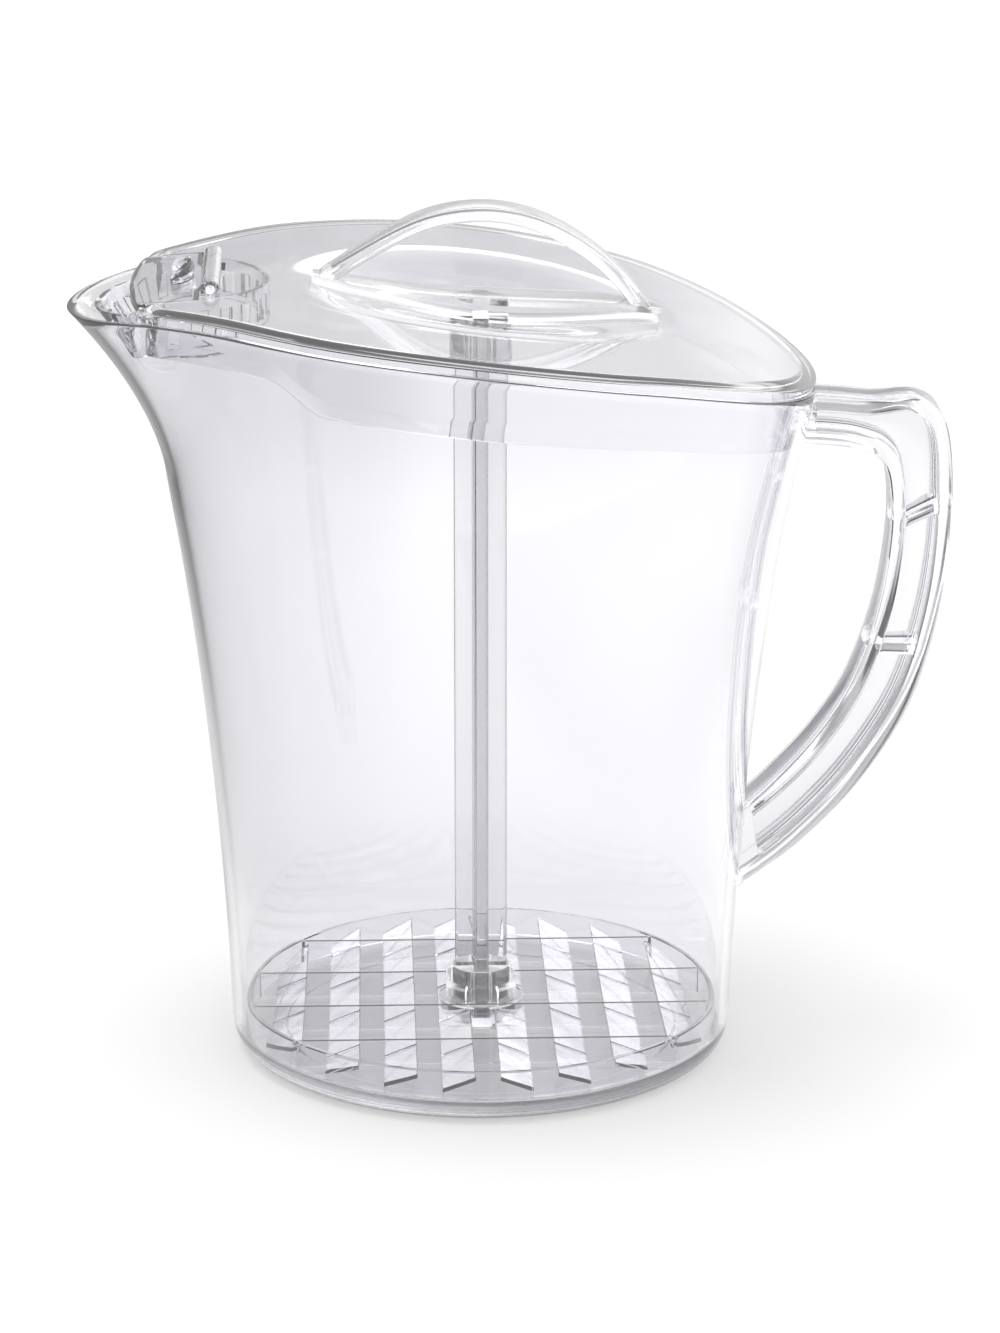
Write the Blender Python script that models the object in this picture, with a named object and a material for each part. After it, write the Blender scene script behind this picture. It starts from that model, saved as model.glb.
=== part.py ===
"""Quick stir pitcher: a clear plastic jug with a lift-off lid, a flip-up spout cap and a plunger.

The plunger's slatted disc rides on a cross-shaped rod through the lid, and its D-shaped grip rests
in a shallow dish in the lid. Lengths are in metres. The origin is the centre of the flat underside,
+Z is up, +X points to the body handle and the spout is on the -X side.
"""

import math

import bmesh
import bpy
import numpy as np
from mathutils import Matrix, Vector

# Clearances and cutters
TOUCH_GAP = 0.0003
RUNNING_GAP = 0.0005
CUT_OVERRUN = 0.004
JOIN_DEPTH = 0.0006

# Pitcher body
BASE_RADIUS = 0.072
BODY_FLARE = 0.0223
BODY_HEIGHT = 0.2228
WALL = 0.0026
FLOOR = 0.006
BASE_FILLET = 0.007
FLOOR_FILLET = 0.0015
FLARE_HEIGHT_SHARES = (0.0, 0.16, 0.32, 0.485, 0.64, 0.79, 1.0)
FLARE_SHARES = (0.0, 0.067, 0.178, 0.34, 0.54, 0.775, 1.0)

# Rim, highest behind the spout and falling towards the handle
RIM_RADIUS = BASE_RADIUS + BODY_FLARE
RIM_DROP = 0.0285
RIM_PLACE_SHARES = (0.0, 0.09, 0.207, 0.372, 0.55, 0.698, 0.79, 0.905, 1.0)
RIM_DROP_SHARES = (0.144, 0.056, 0.0, 0.05, 0.168, 0.328, 0.461, 0.707, 0.975)

# Spout, a smaller circle drawn out from the rim circle
SPOUT_REACH = 0.0212
SPOUT_HEIGHT = 0.0455
SPOUT_POWER = 1.75
NOSE_RADIUS = 0.046
NOSE_CENTRE = RIM_RADIUS + SPOUT_REACH - NOSE_RADIUS

# Body handle, an I-section with two cross ribs, from a root inside the wall that trims it
HANDLE_SINK = 0.0067
HANDLE_ROOT = BASE_RADIUS - HANDLE_SINK
HANDLE_REACH = 0.068
HANDLE_FOOT = 0.0452
HANDLE_RISE = 0.1496
HANDLE_WIDTH = 0.0175
FLANGE = 0.0045
FLANGE_FILLET = 0.001
FLANGE_CHAMFER = 0.0011
WEB = 0.003
RIB_INSET = 0.001
OUTER_X_SHARES = (0.2, 0.498, 0.686, 0.865, 0.971, 1.0, 0.967, 0.855, 0.651, 0.402, 0.147, 0.0)
OUTER_Z_SHARES = (0.989, 0.982, 0.974, 0.975, 0.922, 0.767, 0.58, 0.392, 0.233, 0.109, 0.018, -0.03)
INNER_X_SHARES = (0.2, 0.483, 0.6, 0.686, 0.735, 0.745, 0.696, 0.584, 0.439, 0.279, 0.126, 0.0)
INNER_Z_SHARES = (0.896, 0.888, 0.88, 0.863, 0.822, 0.716, 0.565, 0.417, 0.312, 0.229, 0.163, 0.114)
TOP_PLATE_STATION = 0.75
FOOT_PLATE_STATION = 9.65
RIB_STATIONS = (4.95, 6.5)
RIB_HALF_STATION = 0.06
RIB_DRAFT_STATION = 0.02

# Lid
LID_SEAT = 0.003
LID_WALL = 0.0022
LID_NOSE_FRONT = 0.0975
LID_NOSE_RADIUS = 0.165
LID_NOSE_CENTRE = LID_NOSE_RADIUS - LID_NOSE_FRONT
EDGE_ROUND = 0.0006
BORDER = 0.005
PANEL_STEP = 0.0008
PANEL_RISE = 0.0008
DISH_RADIUS = 0.056
DISH_DEPTH = 0.0075
SKIRT_WALL = 0.0016
SKIRT_DEPTH = 0.0175
SKIRT_BACK_DEPTH = 0.014
NOSE_SKIRT_DEPTH = 0.0095
NOSE_SKIRT_ANGLES = (math.radians(50), math.radians(62))
COLLAR_RADIUS = 0.0088
COLLAR_DROP = 0.012

# Plunger rod
ROD_SPAN = 0.015
ROD_FIN = 0.0038
ROD_CLEARANCE = 0.00035

# Plunger grip
GRIP_LEFT = 0.047
GRIP_RIGHT = 0.0502
BAR_THICKNESS = 0.0067
BAR_HALF_WIDTH = 0.0115
BAR_TIP_SHARE = 0.42
BAR_PLACE_SHARES = (0.0, 0.12, 0.3, 0.49, 0.8, 1.0)
BAR_THICKNESS_SHARES = (0.3, 0.36, 0.72, 1.0, 0.86, 0.5)
ARCH_RISE = 0.0235
ARCH_THICKNESS = 0.0042
ARCH_WIDTH = 0.015
ARCH_FOOT_WIDTH = 0.0105
ARCH_PLACE_SHARES = (0.0, 0.07, 0.15, 0.31, 0.47, 0.56, 0.77, 0.9, 0.96, 1.0)
ARCH_RISE_SHARES = (0.0, 0.2, 0.42, 0.8, 0.98, 1.0, 0.78, 0.44, 0.2, 0.0)
SOCKET_DEPTH = 0.0042

# Mixing disc
DISC_CLEARANCE = 0.0014
RING_WALL = 0.0015
RING_HEIGHT = 0.0082
SLAT_INSET = 0.0004
BAR_COUNT = 4
BAR_WALL = 0.0011
VANES_PER_SIDE = 4
VANE_WIDTH = 0.0098
VANE_WALL = 0.0012
VANE_ANGLE = math.radians(22)
HUB_RADIUS = 0.0125
HUB_HEIGHT = 0.0062
SLEEVE_WALL = 0.0009
SLEEVE_TOP = 0.0155
HUB_FLOOR = 0.0016

# Spout cap, its pin and the window it closes
CAP_HALF_WIDTH = 0.031
HINGE_SETBACK = 0.0228
BARREL_RADIUS = 0.0026
BARREL_HALF = 0.0158
BARREL_CLEARANCE = 0.0009
HINGE_LIFT = 0.001
LUG_WIDTH = 0.0072
PIN_RADIUS = 0.00125
PIN_CLEARANCE = 0.00015
CAP_REAR_CLEARANCE = 0.0035
TAB_HALF_WIDTH = 0.0096
TAB_HEIGHT = 0.0052
TAB_KNEE_SHARE = 0.6
TAB_WALL = 0.0026
TAB_TIP_WALL = 0.0016
TAB_CURVE = 0.0038
TAB_SETBACK = 0.0061
TAB_ROUND_SHARE = 0.5

# Strainer, a slotted oval fence below the pour window
FENCE_FRONT_GAP = 0.0085
FENCE_HALF_LENGTH = 0.0237
FENCE_HALF_WIDTH = 0.0285
FENCE_WALL = 0.0016
FENCE_FRONT_DEPTH = 0.0135
FENCE_BACK_DEPTH = 0.0095
FENCE_LEAN_SHARE = 0.565
FENCE_NARROW_SHARE = 0.9
FENCE_LIP_DROP = 0.0006
SLOT_COUNT = 22
SLOT_FILL_SHARE = 0.5
SLOT_LOW_SHARE = 0.16
SLOT_HIGH_SHARE = 0.72

# Facets
TURN_STEP = 6.0
NOSE_STEP = 3.0
NOSE_SPAN = 30.0
ROUND_SIDES = 24
PIN_SIDES = 16
FENCE_SIDES = 44

WALL_SHARES = np.concatenate([np.linspace(0.12, 0.72, 8), np.linspace(0.77, 1.0, 8)])

CLEAR_PLASTIC = (0.93, 0.95, 0.96, 1.0)


def smooth_curve(place, places, values):
    """Cubic curve through a few points, with each point's slope taken from its two neighbours."""
    places = np.asarray(places, float)
    values = np.asarray(values, float)
    slopes = np.gradient(values, places)
    place = np.clip(np.asarray(place, float), places[0], places[-1])
    left = np.clip(np.searchsorted(places, place, side="right") - 1, 0, len(places) - 2)
    step = places[left + 1] - places[left]
    t = (place - places[left]) / step
    start = (1 + 2 * t) * (1 - t) ** 2 * values[left] + t * (1 - t) ** 2 * step * slopes[left]
    end = t * t * (3 - 2 * t) * values[left + 1] + t * t * (t - 1) * step * slopes[left + 1]
    return start + end


def turn_angles():
    """Azimuths all the way round, closer together across the nose of the spout."""
    coarse = np.arange(-180.0 + NOSE_SPAN, 180.0 - NOSE_SPAN, TURN_STEP)
    fine = np.arange(180.0 - NOSE_SPAN, 180.0 + NOSE_SPAN, NOSE_STEP)
    return np.radians(np.concatenate([coarse, fine]))


def from_spout(azimuth):
    """Angle away from the spout's direction, 0 to pi."""
    return np.abs(np.mod(azimuth, 2 * math.pi) - math.pi)


def plan_radius(azimuth):
    """Outline of the rim from above: the rim circle, two tangent lines and the nose circle."""
    angle = from_spout(azimuth)
    tangent = math.acos((RIM_RADIUS - NOSE_RADIUS) / NOSE_CENTRE)
    nose_end = math.atan2(
        NOSE_RADIUS * math.sin(tangent), NOSE_CENTRE + NOSE_RADIUS * math.cos(tangent)
    )
    across = NOSE_CENTRE * np.sin(np.minimum(angle, nose_end))
    nose = NOSE_CENTRE * np.cos(angle) + np.sqrt(NOSE_RADIUS**2 - across**2)
    line = RIM_RADIUS / np.cos(np.clip(angle, nose_end, tangent) - tangent)
    return np.where(angle < nose_end, nose, line)


def rim_height(x):
    """Height of the rim at a place along X."""
    length = 2 * RIM_RADIUS + SPOUT_REACH
    share = (x + RIM_RADIUS + SPOUT_REACH) / length
    return BODY_HEIGHT - RIM_DROP * smooth_curve(share, RIM_PLACE_SHARES, RIM_DROP_SHARES)


def turned_radius(z):
    """Radius of the body where the spout has no effect."""
    return BASE_RADIUS + BODY_FLARE * smooth_curve(
        z / BODY_HEIGHT, FLARE_HEIGHT_SHARES, FLARE_SHARES
    )


def outer_radius(azimuth, z):
    """Outer surface of the body, drawn out to the rim's outline near the top."""
    plan = plan_radius(azimuth)
    top = rim_height(plan * np.cos(azimuth))
    share = np.clip((z - top + SPOUT_HEIGHT) / SPOUT_HEIGHT, 0, 1)
    return turned_radius(z) + (plan - turned_radius(top)) * share**SPOUT_POWER


def lid_height(x, y):
    """Top surface of the lid's panel, with the dish for the grip sunk into it."""
    reach = np.clip(np.hypot(x, y) / DISH_RADIUS, 0, 1)
    dish = DISH_DEPTH * (1 - reach**2) ** 2
    return rim_height(x) + LID_SEAT + PANEL_RISE - dish


def ring(azimuths, radius, height):
    """One closed ring of points; radius and height are single values or one for each azimuth."""
    x = radius * np.cos(azimuths)
    y = radius * np.sin(azimuths)
    return np.stack([x, y, np.broadcast_to(height, x.shape)], axis=1)


def circle_angles(sides):
    """Evenly spaced angles round a circle."""
    return np.arange(sides) * 2 * math.pi / sides


def clear_material(name):
    """Clear, glossy, slightly cool plastic."""
    material = bpy.data.materials.new(name)
    material.use_nodes = True
    shader = material.node_tree.nodes["Principled BSDF"]
    shader.inputs["Base Color"].default_value = CLEAR_PLASTIC
    shader.inputs["Roughness"].default_value = 0.06
    shader.inputs["Metallic"].default_value = 0.0
    shader.inputs["IOR"].default_value = 1.49
    shader.inputs["Transmission Weight"].default_value = 0.9
    return material


def make_object(name, points, faces):
    """Closed mesh object with its faces outward and its round parts smooth."""
    mesh = bpy.data.meshes.new(name)
    mesh.from_pydata([tuple(point) for point in points], [], faces)
    work = bmesh.new()
    work.from_mesh(mesh)
    bmesh.ops.recalc_face_normals(work, faces=work.faces)
    work.to_mesh(mesh)
    work.free()
    mesh.shade_smooth()
    mesh.set_sharp_from_angle(angle=math.radians(35))
    made = bpy.data.objects.new(name, mesh)
    bpy.context.scene.collection.objects.link(made)
    return made


def piece(name, points, faces):
    """A sub-part with its own material."""
    made = make_object(name, points, faces)
    made.data.materials.append(clear_material(name))
    return made


def loft(rings, closed=False):
    """Points and faces of a skin over rings of equal count, capped at both ends or closed on itself."""
    rings = np.asarray(rings, float)
    rows, count, _ = rings.shape
    index = np.arange(rows * count).reshape(rows, count)
    if closed:
        index = np.vstack([index, index[:1]])
    low = index[:-1]
    high = index[1:]
    sides = np.stack([low, np.roll(low, -1, 1), np.roll(high, -1, 1), high], axis=-1)
    faces = sides.reshape(-1, 4).tolist()
    if not closed:
        faces.append(index[0].tolist())
        faces.append(index[-1][::-1].tolist())
    return rings.reshape(-1, 3), faces


def slab(top, bottom):
    """Closed solid between two grids of points of the same shape."""
    top = np.asarray(top, float)
    bottom = np.asarray(bottom, float)
    rows = [np.concatenate([upper, lower[::-1]]) for upper, lower in zip(top, bottom)]
    points = np.asarray(rows)
    lines, count, _ = points.shape
    half = count // 2
    index = np.arange(lines * count).reshape(lines, count)
    low = index[:-1]
    high = index[1:]
    sides = np.stack([low, np.roll(low, -1, 1), np.roll(high, -1, 1), high], axis=-1)
    faces = sides.reshape(-1, 4).tolist()
    for end in (index[0], index[-1]):
        for k in range(half - 1):
            faces.append([end[k], end[k + 1], end[count - 2 - k], end[count - 1 - k]])
    return points.reshape(-1, 3), [[int(corner) for corner in face] for face in faces]


def cross_solid(span, fin, low, high):
    """Upright prism with a plus-shaped outline."""
    a = fin / 2
    b = span / 2
    quarter = [(b, -a), (b, a), (a, a)]
    outline = []
    for turn in range(4):
        sine = math.sin(turn * math.pi / 2)
        cosine = math.cos(turn * math.pi / 2)
        outline += [(x * cosine - y * sine, x * sine + y * cosine) for x, y in quarter]
    flat = np.array(outline)
    rows = [np.column_stack([flat, np.full(len(flat), z)]) for z in (low, high)]
    return loft(rows)


def extruded_across(outline, start, end):
    """Prism along Y from an outline of (x, z) points."""
    flat = np.array(outline)
    rows = [np.column_stack([flat[:, 0], np.full(len(flat), y), flat[:, 1]]) for y in (start, end)]
    return loft(rows)


def block(low, high):
    """Box between two corners."""
    corners = [(low[0], low[2]), (high[0], low[2]), (high[0], high[2]), (low[0], high[2])]
    return extruded_across(corners, low[1], high[1])


def apply_tool(target, name, shape, operation):
    """Adds a Boolean with a hidden wire object as its tool."""
    tool = make_object(name, *shape)
    tool.hide_render = True
    tool.display_type = "WIRE"
    modifier = target.modifiers.new(name, "BOOLEAN")
    modifier.operation = operation
    modifier.object = tool


def cut(target, name, shape):
    """Removes a shape from a piece."""
    apply_tool(target, name, shape, "DIFFERENCE")


def join(target, name, shape):
    """Adds a shape to a piece."""
    apply_tool(target, name, shape, "UNION")


def joint_empty(name, location, parent=None):
    """Empty on a joint's axis, which carries the pieces that move with it."""
    empty = bpy.data.objects.new(name, None)
    empty.empty_display_size = BARREL_RADIUS
    bpy.context.scene.collection.objects.link(empty)
    empty.parent = parent
    base = parent["place"] if parent else (0.0, 0.0, 0.0)
    empty["place"] = location
    empty.location = Vector(location) - Vector(base)
    return empty


def carry(made, empty):
    """Parents a piece to a joint's empty without moving it."""
    made.data.transform(Matrix.Translation(-Vector(empty["place"])))
    made.parent = empty


def outside_rows(azimuths, grow):
    """Rings up the outside of the jug, from the underside to the rim, moved out by a distance."""
    top = rim_height(plan_radius(azimuths) * np.cos(azimuths))
    rows = []
    for turn in np.linspace(0, math.pi / 2, 5):
        radius = BASE_RADIUS - BASE_FILLET + BASE_FILLET * math.sin(turn)
        rows.append(ring(azimuths, radius + grow, BASE_FILLET - BASE_FILLET * math.cos(turn)))
    for share in WALL_SHARES:
        z = BASE_FILLET + (top - BASE_FILLET) * share
        rows.append(ring(azimuths, outer_radius(azimuths, z) + grow, z))
    return rows


def body_rows():
    """Rings of the jug from the underside up the outside, over the rim and down to the floor."""
    azimuths = turn_angles()
    top = rim_height(plan_radius(azimuths) * np.cos(azimuths))
    rows = outside_rows(azimuths, 0)
    corner = FLOOR + FLOOR_FILLET
    for share in WALL_SHARES[::-1]:
        z = corner + (top - corner) * share
        rows.append(ring(azimuths, outer_radius(azimuths, z) - WALL, z))
    radius = outer_radius(azimuths, corner) - WALL
    rows.append(ring(azimuths, radius, corner))
    rows.append(ring(azimuths, radius - FLOOR_FILLET, FLOOR))
    return rows


def build_body():
    """Jug shell with its spout."""
    return piece("pitcher_body", *loft(body_rows()))


def handle_station(station):
    """Outer point, inner point and web half-width of the handle at a place along it."""
    places = np.arange(len(OUTER_X_SHARES))
    curves = (OUTER_X_SHARES, OUTER_Z_SHARES, INNER_X_SHARES, INNER_Z_SHARES)
    outer_x, outer_z, inner_x, inner_z = [smooth_curve(station, places, c) for c in curves]
    outer = np.array([HANDLE_ROOT + outer_x * HANDLE_REACH, HANDLE_FOOT + outer_z * HANDLE_RISE])
    inner = np.array([HANDLE_ROOT + inner_x * HANDLE_REACH, HANDLE_FOOT + inner_z * HANDLE_RISE])
    solid = station < TOP_PLATE_STATION or station > FOOT_PLATE_STATION
    for rib in RIB_STATIONS:
        solid = solid or abs(station - rib) < RIB_HALF_STATION
    return outer, inner, HANDLE_WIDTH / 2 - RIB_INSET if solid else WEB / 2


def handle_section(station):
    """I-shaped section between the handle's outer and inner outlines."""
    outer, inner, web = handle_station(station)
    depth = np.linalg.norm(inner - outer)
    along = (inner - outer) / depth
    half = HANDLE_WIDTH / 2
    side = [
        (half - FLANGE_CHAMFER, 0),
        (half, FLANGE_CHAMFER),
        (half, FLANGE),
        (web, FLANGE + FLANGE_FILLET),
        (web, depth - FLANGE - FLANGE_FILLET),
        (half, depth - FLANGE),
        (half, depth - FLANGE_CHAMFER),
        (half - FLANGE_CHAMFER, depth),
    ]
    section = side + [(-y, into) for y, into in side[::-1]]
    return [(*(outer + along * into), y) for y, into in section]


def handle_stations():
    """Places along the handle, with close pairs where the web turns into a plate or a rib."""
    stations = list(np.linspace(0, len(OUTER_X_SHARES) - 1, 32))
    edges = [TOP_PLATE_STATION, FOOT_PLATE_STATION]
    for rib in RIB_STATIONS:
        edges += [rib - RIB_HALF_STATION, rib + RIB_HALF_STATION]
    clear = 2 * RIB_DRAFT_STATION
    stations = [s for s in stations if min(abs(s - edge) for edge in edges) > clear]
    for edge in edges:
        stations += [edge - RIB_DRAFT_STATION / 2, edge + RIB_DRAFT_STATION / 2]
    return sorted(stations)


def build_handle():
    """Body handle, cut to the curve of the wall that it is bonded to."""
    rows = [[(x, y, z) for x, z, y in handle_section(s)] for s in handle_stations()]
    handle = piece("body_handle", *loft(rows))
    azimuths = turn_angles()
    wall = outside_rows(azimuths, TOUCH_GAP)
    wall.append(ring(azimuths, plan_radius(azimuths) + TOUCH_GAP, BODY_HEIGHT + CUT_OVERRUN))
    cut(handle, "wall_cutter", loft(wall))
    return handle


def lid_edge(azimuths):
    """Outline of the lid from above: the rim's outline, cut short by a shallow arc over the spout."""
    angle = from_spout(azimuths)
    across = LID_NOSE_CENTRE * np.sin(angle)
    arc = np.sqrt(LID_NOSE_RADIUS**2 - across**2) - LID_NOSE_CENTRE * np.cos(angle)
    return np.minimum(plan_radius(azimuths), arc)


def surface_ring(azimuths, radius, drop):
    """Ring that lies a given depth below the lid's top surface."""
    x = radius * np.cos(azimuths)
    y = radius * np.sin(azimuths)
    return np.stack([x, y, lid_height(x, y) - drop], axis=1)


def skirt_depths(azimuths):
    """Depth of the skirt, shallower beside the spout and towards the handle."""
    start, end = NOSE_SKIRT_ANGLES
    share = np.clip((from_spout(azimuths) - start) / (end - start), 0, 1)
    share = share * share * (3 - 2 * share)
    towards_handle = np.maximum(np.cos(azimuths), 0)
    full = SKIRT_DEPTH + (SKIRT_BACK_DEPTH - SKIRT_DEPTH) * towards_handle
    return NOSE_SKIRT_DEPTH + (full - NOSE_SKIRT_DEPTH) * share


def lid_rows():
    """Rings of the lid from the dish's centre over the edge, down the skirt and back to the collar."""
    azimuths = turn_angles()
    edge = lid_edge(azimuths)
    panel = edge - BORDER - PANEL_STEP
    dish_rings = np.linspace(COLLAR_RADIUS, DISH_RADIUS, 7)
    top = rim_height(edge * np.cos(azimuths))
    rows = [surface_ring(azimuths, radius + 0 * azimuths, 0) for radius in dish_rings]
    for share in (0.5, 1.0):
        rows.append(surface_ring(azimuths, DISH_RADIUS + (panel - DISH_RADIUS) * share, 0))
    rows.append(surface_ring(azimuths, edge - BORDER, PANEL_RISE))
    rows.append(surface_ring(azimuths, edge - EDGE_ROUND, PANEL_RISE))
    rows.append(ring(azimuths, edge, top + LID_SEAT - EDGE_ROUND))
    rows.append(ring(azimuths, edge, top + TOUCH_GAP))
    inset = edge - WALL - RUNNING_GAP
    depths = skirt_depths(azimuths)
    for share in (0.0, 0.5, 1.0):
        z = top + TOUCH_GAP - depths * share
        wall = outer_radius(azimuths, np.minimum(z, top)) - WALL - RUNNING_GAP
        skirt = np.minimum(wall, inset)
        rows.append(ring(azimuths, skirt, z))
    rows.append(ring(azimuths, skirt - SKIRT_WALL, z))
    inner_top = np.minimum(inset, panel) - SKIRT_WALL
    rows.append(surface_ring(azimuths, inner_top, LID_WALL))
    rows.append(surface_ring(azimuths, DISH_RADIUS + (inner_top - DISH_RADIUS) * 0.5, LID_WALL))
    rows += [surface_ring(azimuths, radius + 0 * azimuths, LID_WALL) for radius in dish_rings[::-1]]
    rows.append(ring(azimuths, COLLAR_RADIUS, collar_bottom()))
    return rows


def dish_floor():
    """Height of the dish at the rod."""
    return float(lid_height(0.0, 0.0))


def collar_bottom():
    """Lower end of the collar that guides the rod."""
    return dish_floor() - LID_WALL - COLLAR_DROP


def hinge_place():
    """X and Z of the spout cap's hinge axis."""
    x = -LID_NOSE_FRONT + HINGE_SETBACK
    return x, float(rim_height(x)) + LID_SEAT + PANEL_RISE + HINGE_LIFT


def lug_start():
    """Inner face of the hinge lugs."""
    return BARREL_HALF + RUNNING_GAP


def build_lid():
    """Lid with its dish, skirt, rod collar, pour window and hinge lugs."""
    lid = piece("lid", *loft(lid_rows()))
    hinge_x, hinge_z = hinge_place()
    plate_z = hinge_z - HINGE_LIFT
    foot_z = plate_z - LID_WALL + JOIN_DEPTH
    turns = np.linspace(math.pi, 0, 9)
    outline = [
        (hinge_x + BARREL_RADIUS * math.cos(t), hinge_z + BARREL_RADIUS * math.sin(t)) for t in turns
    ]
    outline = [(hinge_x - BARREL_RADIUS, foot_z)] + outline + [(hinge_x + BARREL_RADIUS, foot_z)]
    for side, name in ((-1, "front_lug"), (1, "rear_lug")):
        ends = sorted((side * lug_start(), side * (lug_start() + LUG_WIDTH)))
        join(lid, name, extruded_across(outline, *ends))
    low = plate_z - LID_WALL - SKIRT_DEPTH - CUT_OVERRUN
    high = plate_z + CUT_OVERRUN
    half = CAP_HALF_WIDTH + RUNNING_GAP
    front = -LID_NOSE_FRONT - CUT_OVERRUN
    rear = hinge_x - CAP_REAR_CLEARANCE + RUNNING_GAP
    cut(lid, "pour_window", block((front, -half, low), (rear, half, high)))
    slot = BARREL_HALF + RUNNING_GAP
    rear = hinge_x + BARREL_RADIUS + BARREL_CLEARANCE
    cut(lid, "barrel_slot", block((front, -slot, plate_z - 2 * LID_WALL), (rear, slot, high)))
    reach = lug_start() + LUG_WIDTH + CUT_OVERRUN
    cut(lid, "pin_bore", pin_solid(PIN_RADIUS + PIN_CLEARANCE, reach))
    span = ROD_SPAN + 2 * ROD_CLEARANCE
    fin = ROD_FIN + 2 * ROD_CLEARANCE
    hole = cross_solid(span, fin, collar_bottom() - CUT_OVERRUN, dish_floor() + CUT_OVERRUN)
    cut(lid, "rod_hole", hole)
    return lid


def pin_solid(radius, half_length):
    """Cylinder along the spout cap's hinge axis: its pin, the pin's bores or the cap's barrel."""
    hinge_x, hinge_z = hinge_place()
    outline = [
        (hinge_x + radius * math.cos(t), hinge_z + radius * math.sin(t))
        for t in circle_angles(PIN_SIDES)
    ]
    return extruded_across(outline, -half_length, half_length)


def cap_plate():
    """Spout cap's plate: flush with the lid, its front edge on the lid's nose arc."""
    hinge_x, _ = hinge_place()
    step = 2 * RUNNING_GAP
    inner = BARREL_HALF - RUNNING_GAP
    across = [0, inner / 2, inner, inner + step, (inner + CAP_HALF_WIDTH) / 2, CAP_HALF_WIDTH]
    across = np.array([-y for y in across[:0:-1]] + across)
    rear = np.where(np.abs(across) <= inner, hinge_x, hinge_x - CAP_REAR_CLEARANCE)
    front = LID_NOSE_CENTRE - np.sqrt(LID_NOSE_RADIUS**2 - across**2)
    top = []
    for share in (0.0, 0.2, 0.5, 0.8, 1.0):
        x = rear + (front - rear) * share
        z = rim_height(x) + LID_SEAT + PANEL_RISE
        top.append(np.stack([x, across, z], axis=1))
    top = np.array(top)
    return slab(top, top - np.array([0, 0, LID_WALL]))


def thumb_tab():
    """Curved upright tab near the cap's hinge, lower towards its two ends."""
    hinge_x, hinge_z = hinge_place()
    base = hinge_z - HINGE_LIFT - JOIN_DEPTH
    front = []
    back = []
    for share in np.linspace(-1, 1, 11):
        y = TAB_HALF_WIDTH * share
        middle = hinge_x - TAB_SETBACK - TAB_CURVE * share**2
        height = TAB_HEIGHT * (1 - TAB_ROUND_SHARE * share**2) + JOIN_DEPTH
        walls = np.array([TAB_WALL, TAB_WALL, TAB_TIP_WALL]) / 2
        heights = np.array([0, TAB_KNEE_SHARE * height, height])
        front.append([(middle - wall, y, base + up) for wall, up in zip(walls, heights)])
        back.append([(middle + wall, y, base + up) for wall, up in zip(walls, heights)])
    return slab(front, back)


def build_cap():
    """Flip-up spout cap with its hinge barrel and thumb tab."""
    cap = piece("spout_cap", *cap_plate())
    join(cap, "cap_barrel", pin_solid(BARREL_RADIUS, BARREL_HALF))
    join(cap, "cap_tab", thumb_tab())
    cut(cap, "cap_bore", pin_solid(PIN_RADIUS + PIN_CLEARANCE, BARREL_HALF + CUT_OVERRUN))
    return cap


def build_pin():
    """Hinge pin through the lid's lugs and the cap's barrel."""
    return piece("cap_hinge_pin", *pin_solid(PIN_RADIUS, lug_start() + LUG_WIDTH))


def fence_point(turn, height_share, out):
    """Point of the strainer fence at an angle, a share of its height and a distance off its middle."""
    centre = -(RIM_RADIUS + SPOUT_REACH) + FENCE_FRONT_GAP + FENCE_HALF_LENGTH
    cosine = math.cos(turn)
    sine = math.sin(turn)
    forward = max(0.0, -cosine)
    lean = 1 - (1 - FENCE_LEAN_SHARE) * forward * (1 - height_share)
    narrow = 1 - (1 - FENCE_NARROW_SHARE) * forward * (1 - height_share)
    x_top = centre + FENCE_HALF_LENGTH * cosine
    under_lid = float(rim_height(x_top)) + LID_SEAT + PANEL_RISE - LID_WALL - TOUCH_GAP
    in_mouth = float(rim_height(x_top)) - FENCE_LIP_DROP
    past_lid = np.clip((-LID_NOSE_FRONT + WALL - x_top) / WALL, 0, 1)
    top = under_lid + (in_mouth - under_lid) * past_lid
    bottom = in_mouth - FENCE_BACK_DEPTH - (FENCE_FRONT_DEPTH - FENCE_BACK_DEPTH) * forward
    x = centre + (FENCE_HALF_LENGTH * lean + out) * cosine
    y = (FENCE_HALF_WIDTH * narrow + out) * sine
    return x, y, bottom + (top - bottom) * height_share


def build_strainer():
    """Oval slotted fence that keeps ice back, clipped under the lid's pour window."""
    turns = circle_angles(FENCE_SIDES)
    half = FENCE_WALL / 2
    corners = ((1, half), (0.5, half), (0, half), (0, -half), (0.5, -half), (1, -half))
    rows = [[fence_point(t, share, out) for t in turns] for share, out in corners]
    fence = piece("spout_strainer", *loft(rows, closed=True))
    reach = FENCE_WALL
    pitch = 2 * math.pi / SLOT_COUNT
    for slot in range(SLOT_COUNT):
        middle = (slot + 0.5) * pitch
        sides = [middle - SLOT_FILL_SHARE * pitch / 2, middle + SLOT_FILL_SHARE * pitch / 2]
        rows = []
        for out in (-reach, reach):
            rows.append(
                [
                    fence_point(sides[0], SLOT_LOW_SHARE, out),
                    fence_point(sides[1], SLOT_LOW_SHARE, out),
                    fence_point(sides[1], SLOT_HIGH_SHARE, out),
                    fence_point(sides[0], SLOT_HIGH_SHARE, out),
                ]
            )
        cut(fence, f"slot_{slot:02d}", loft(rows))
    return fence


def grip_rise(share):
    """Underside of the arch above the line between its feet."""
    return ARCH_RISE * smooth_curve(share, ARCH_PLACE_SHARES, ARCH_RISE_SHARES)


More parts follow.
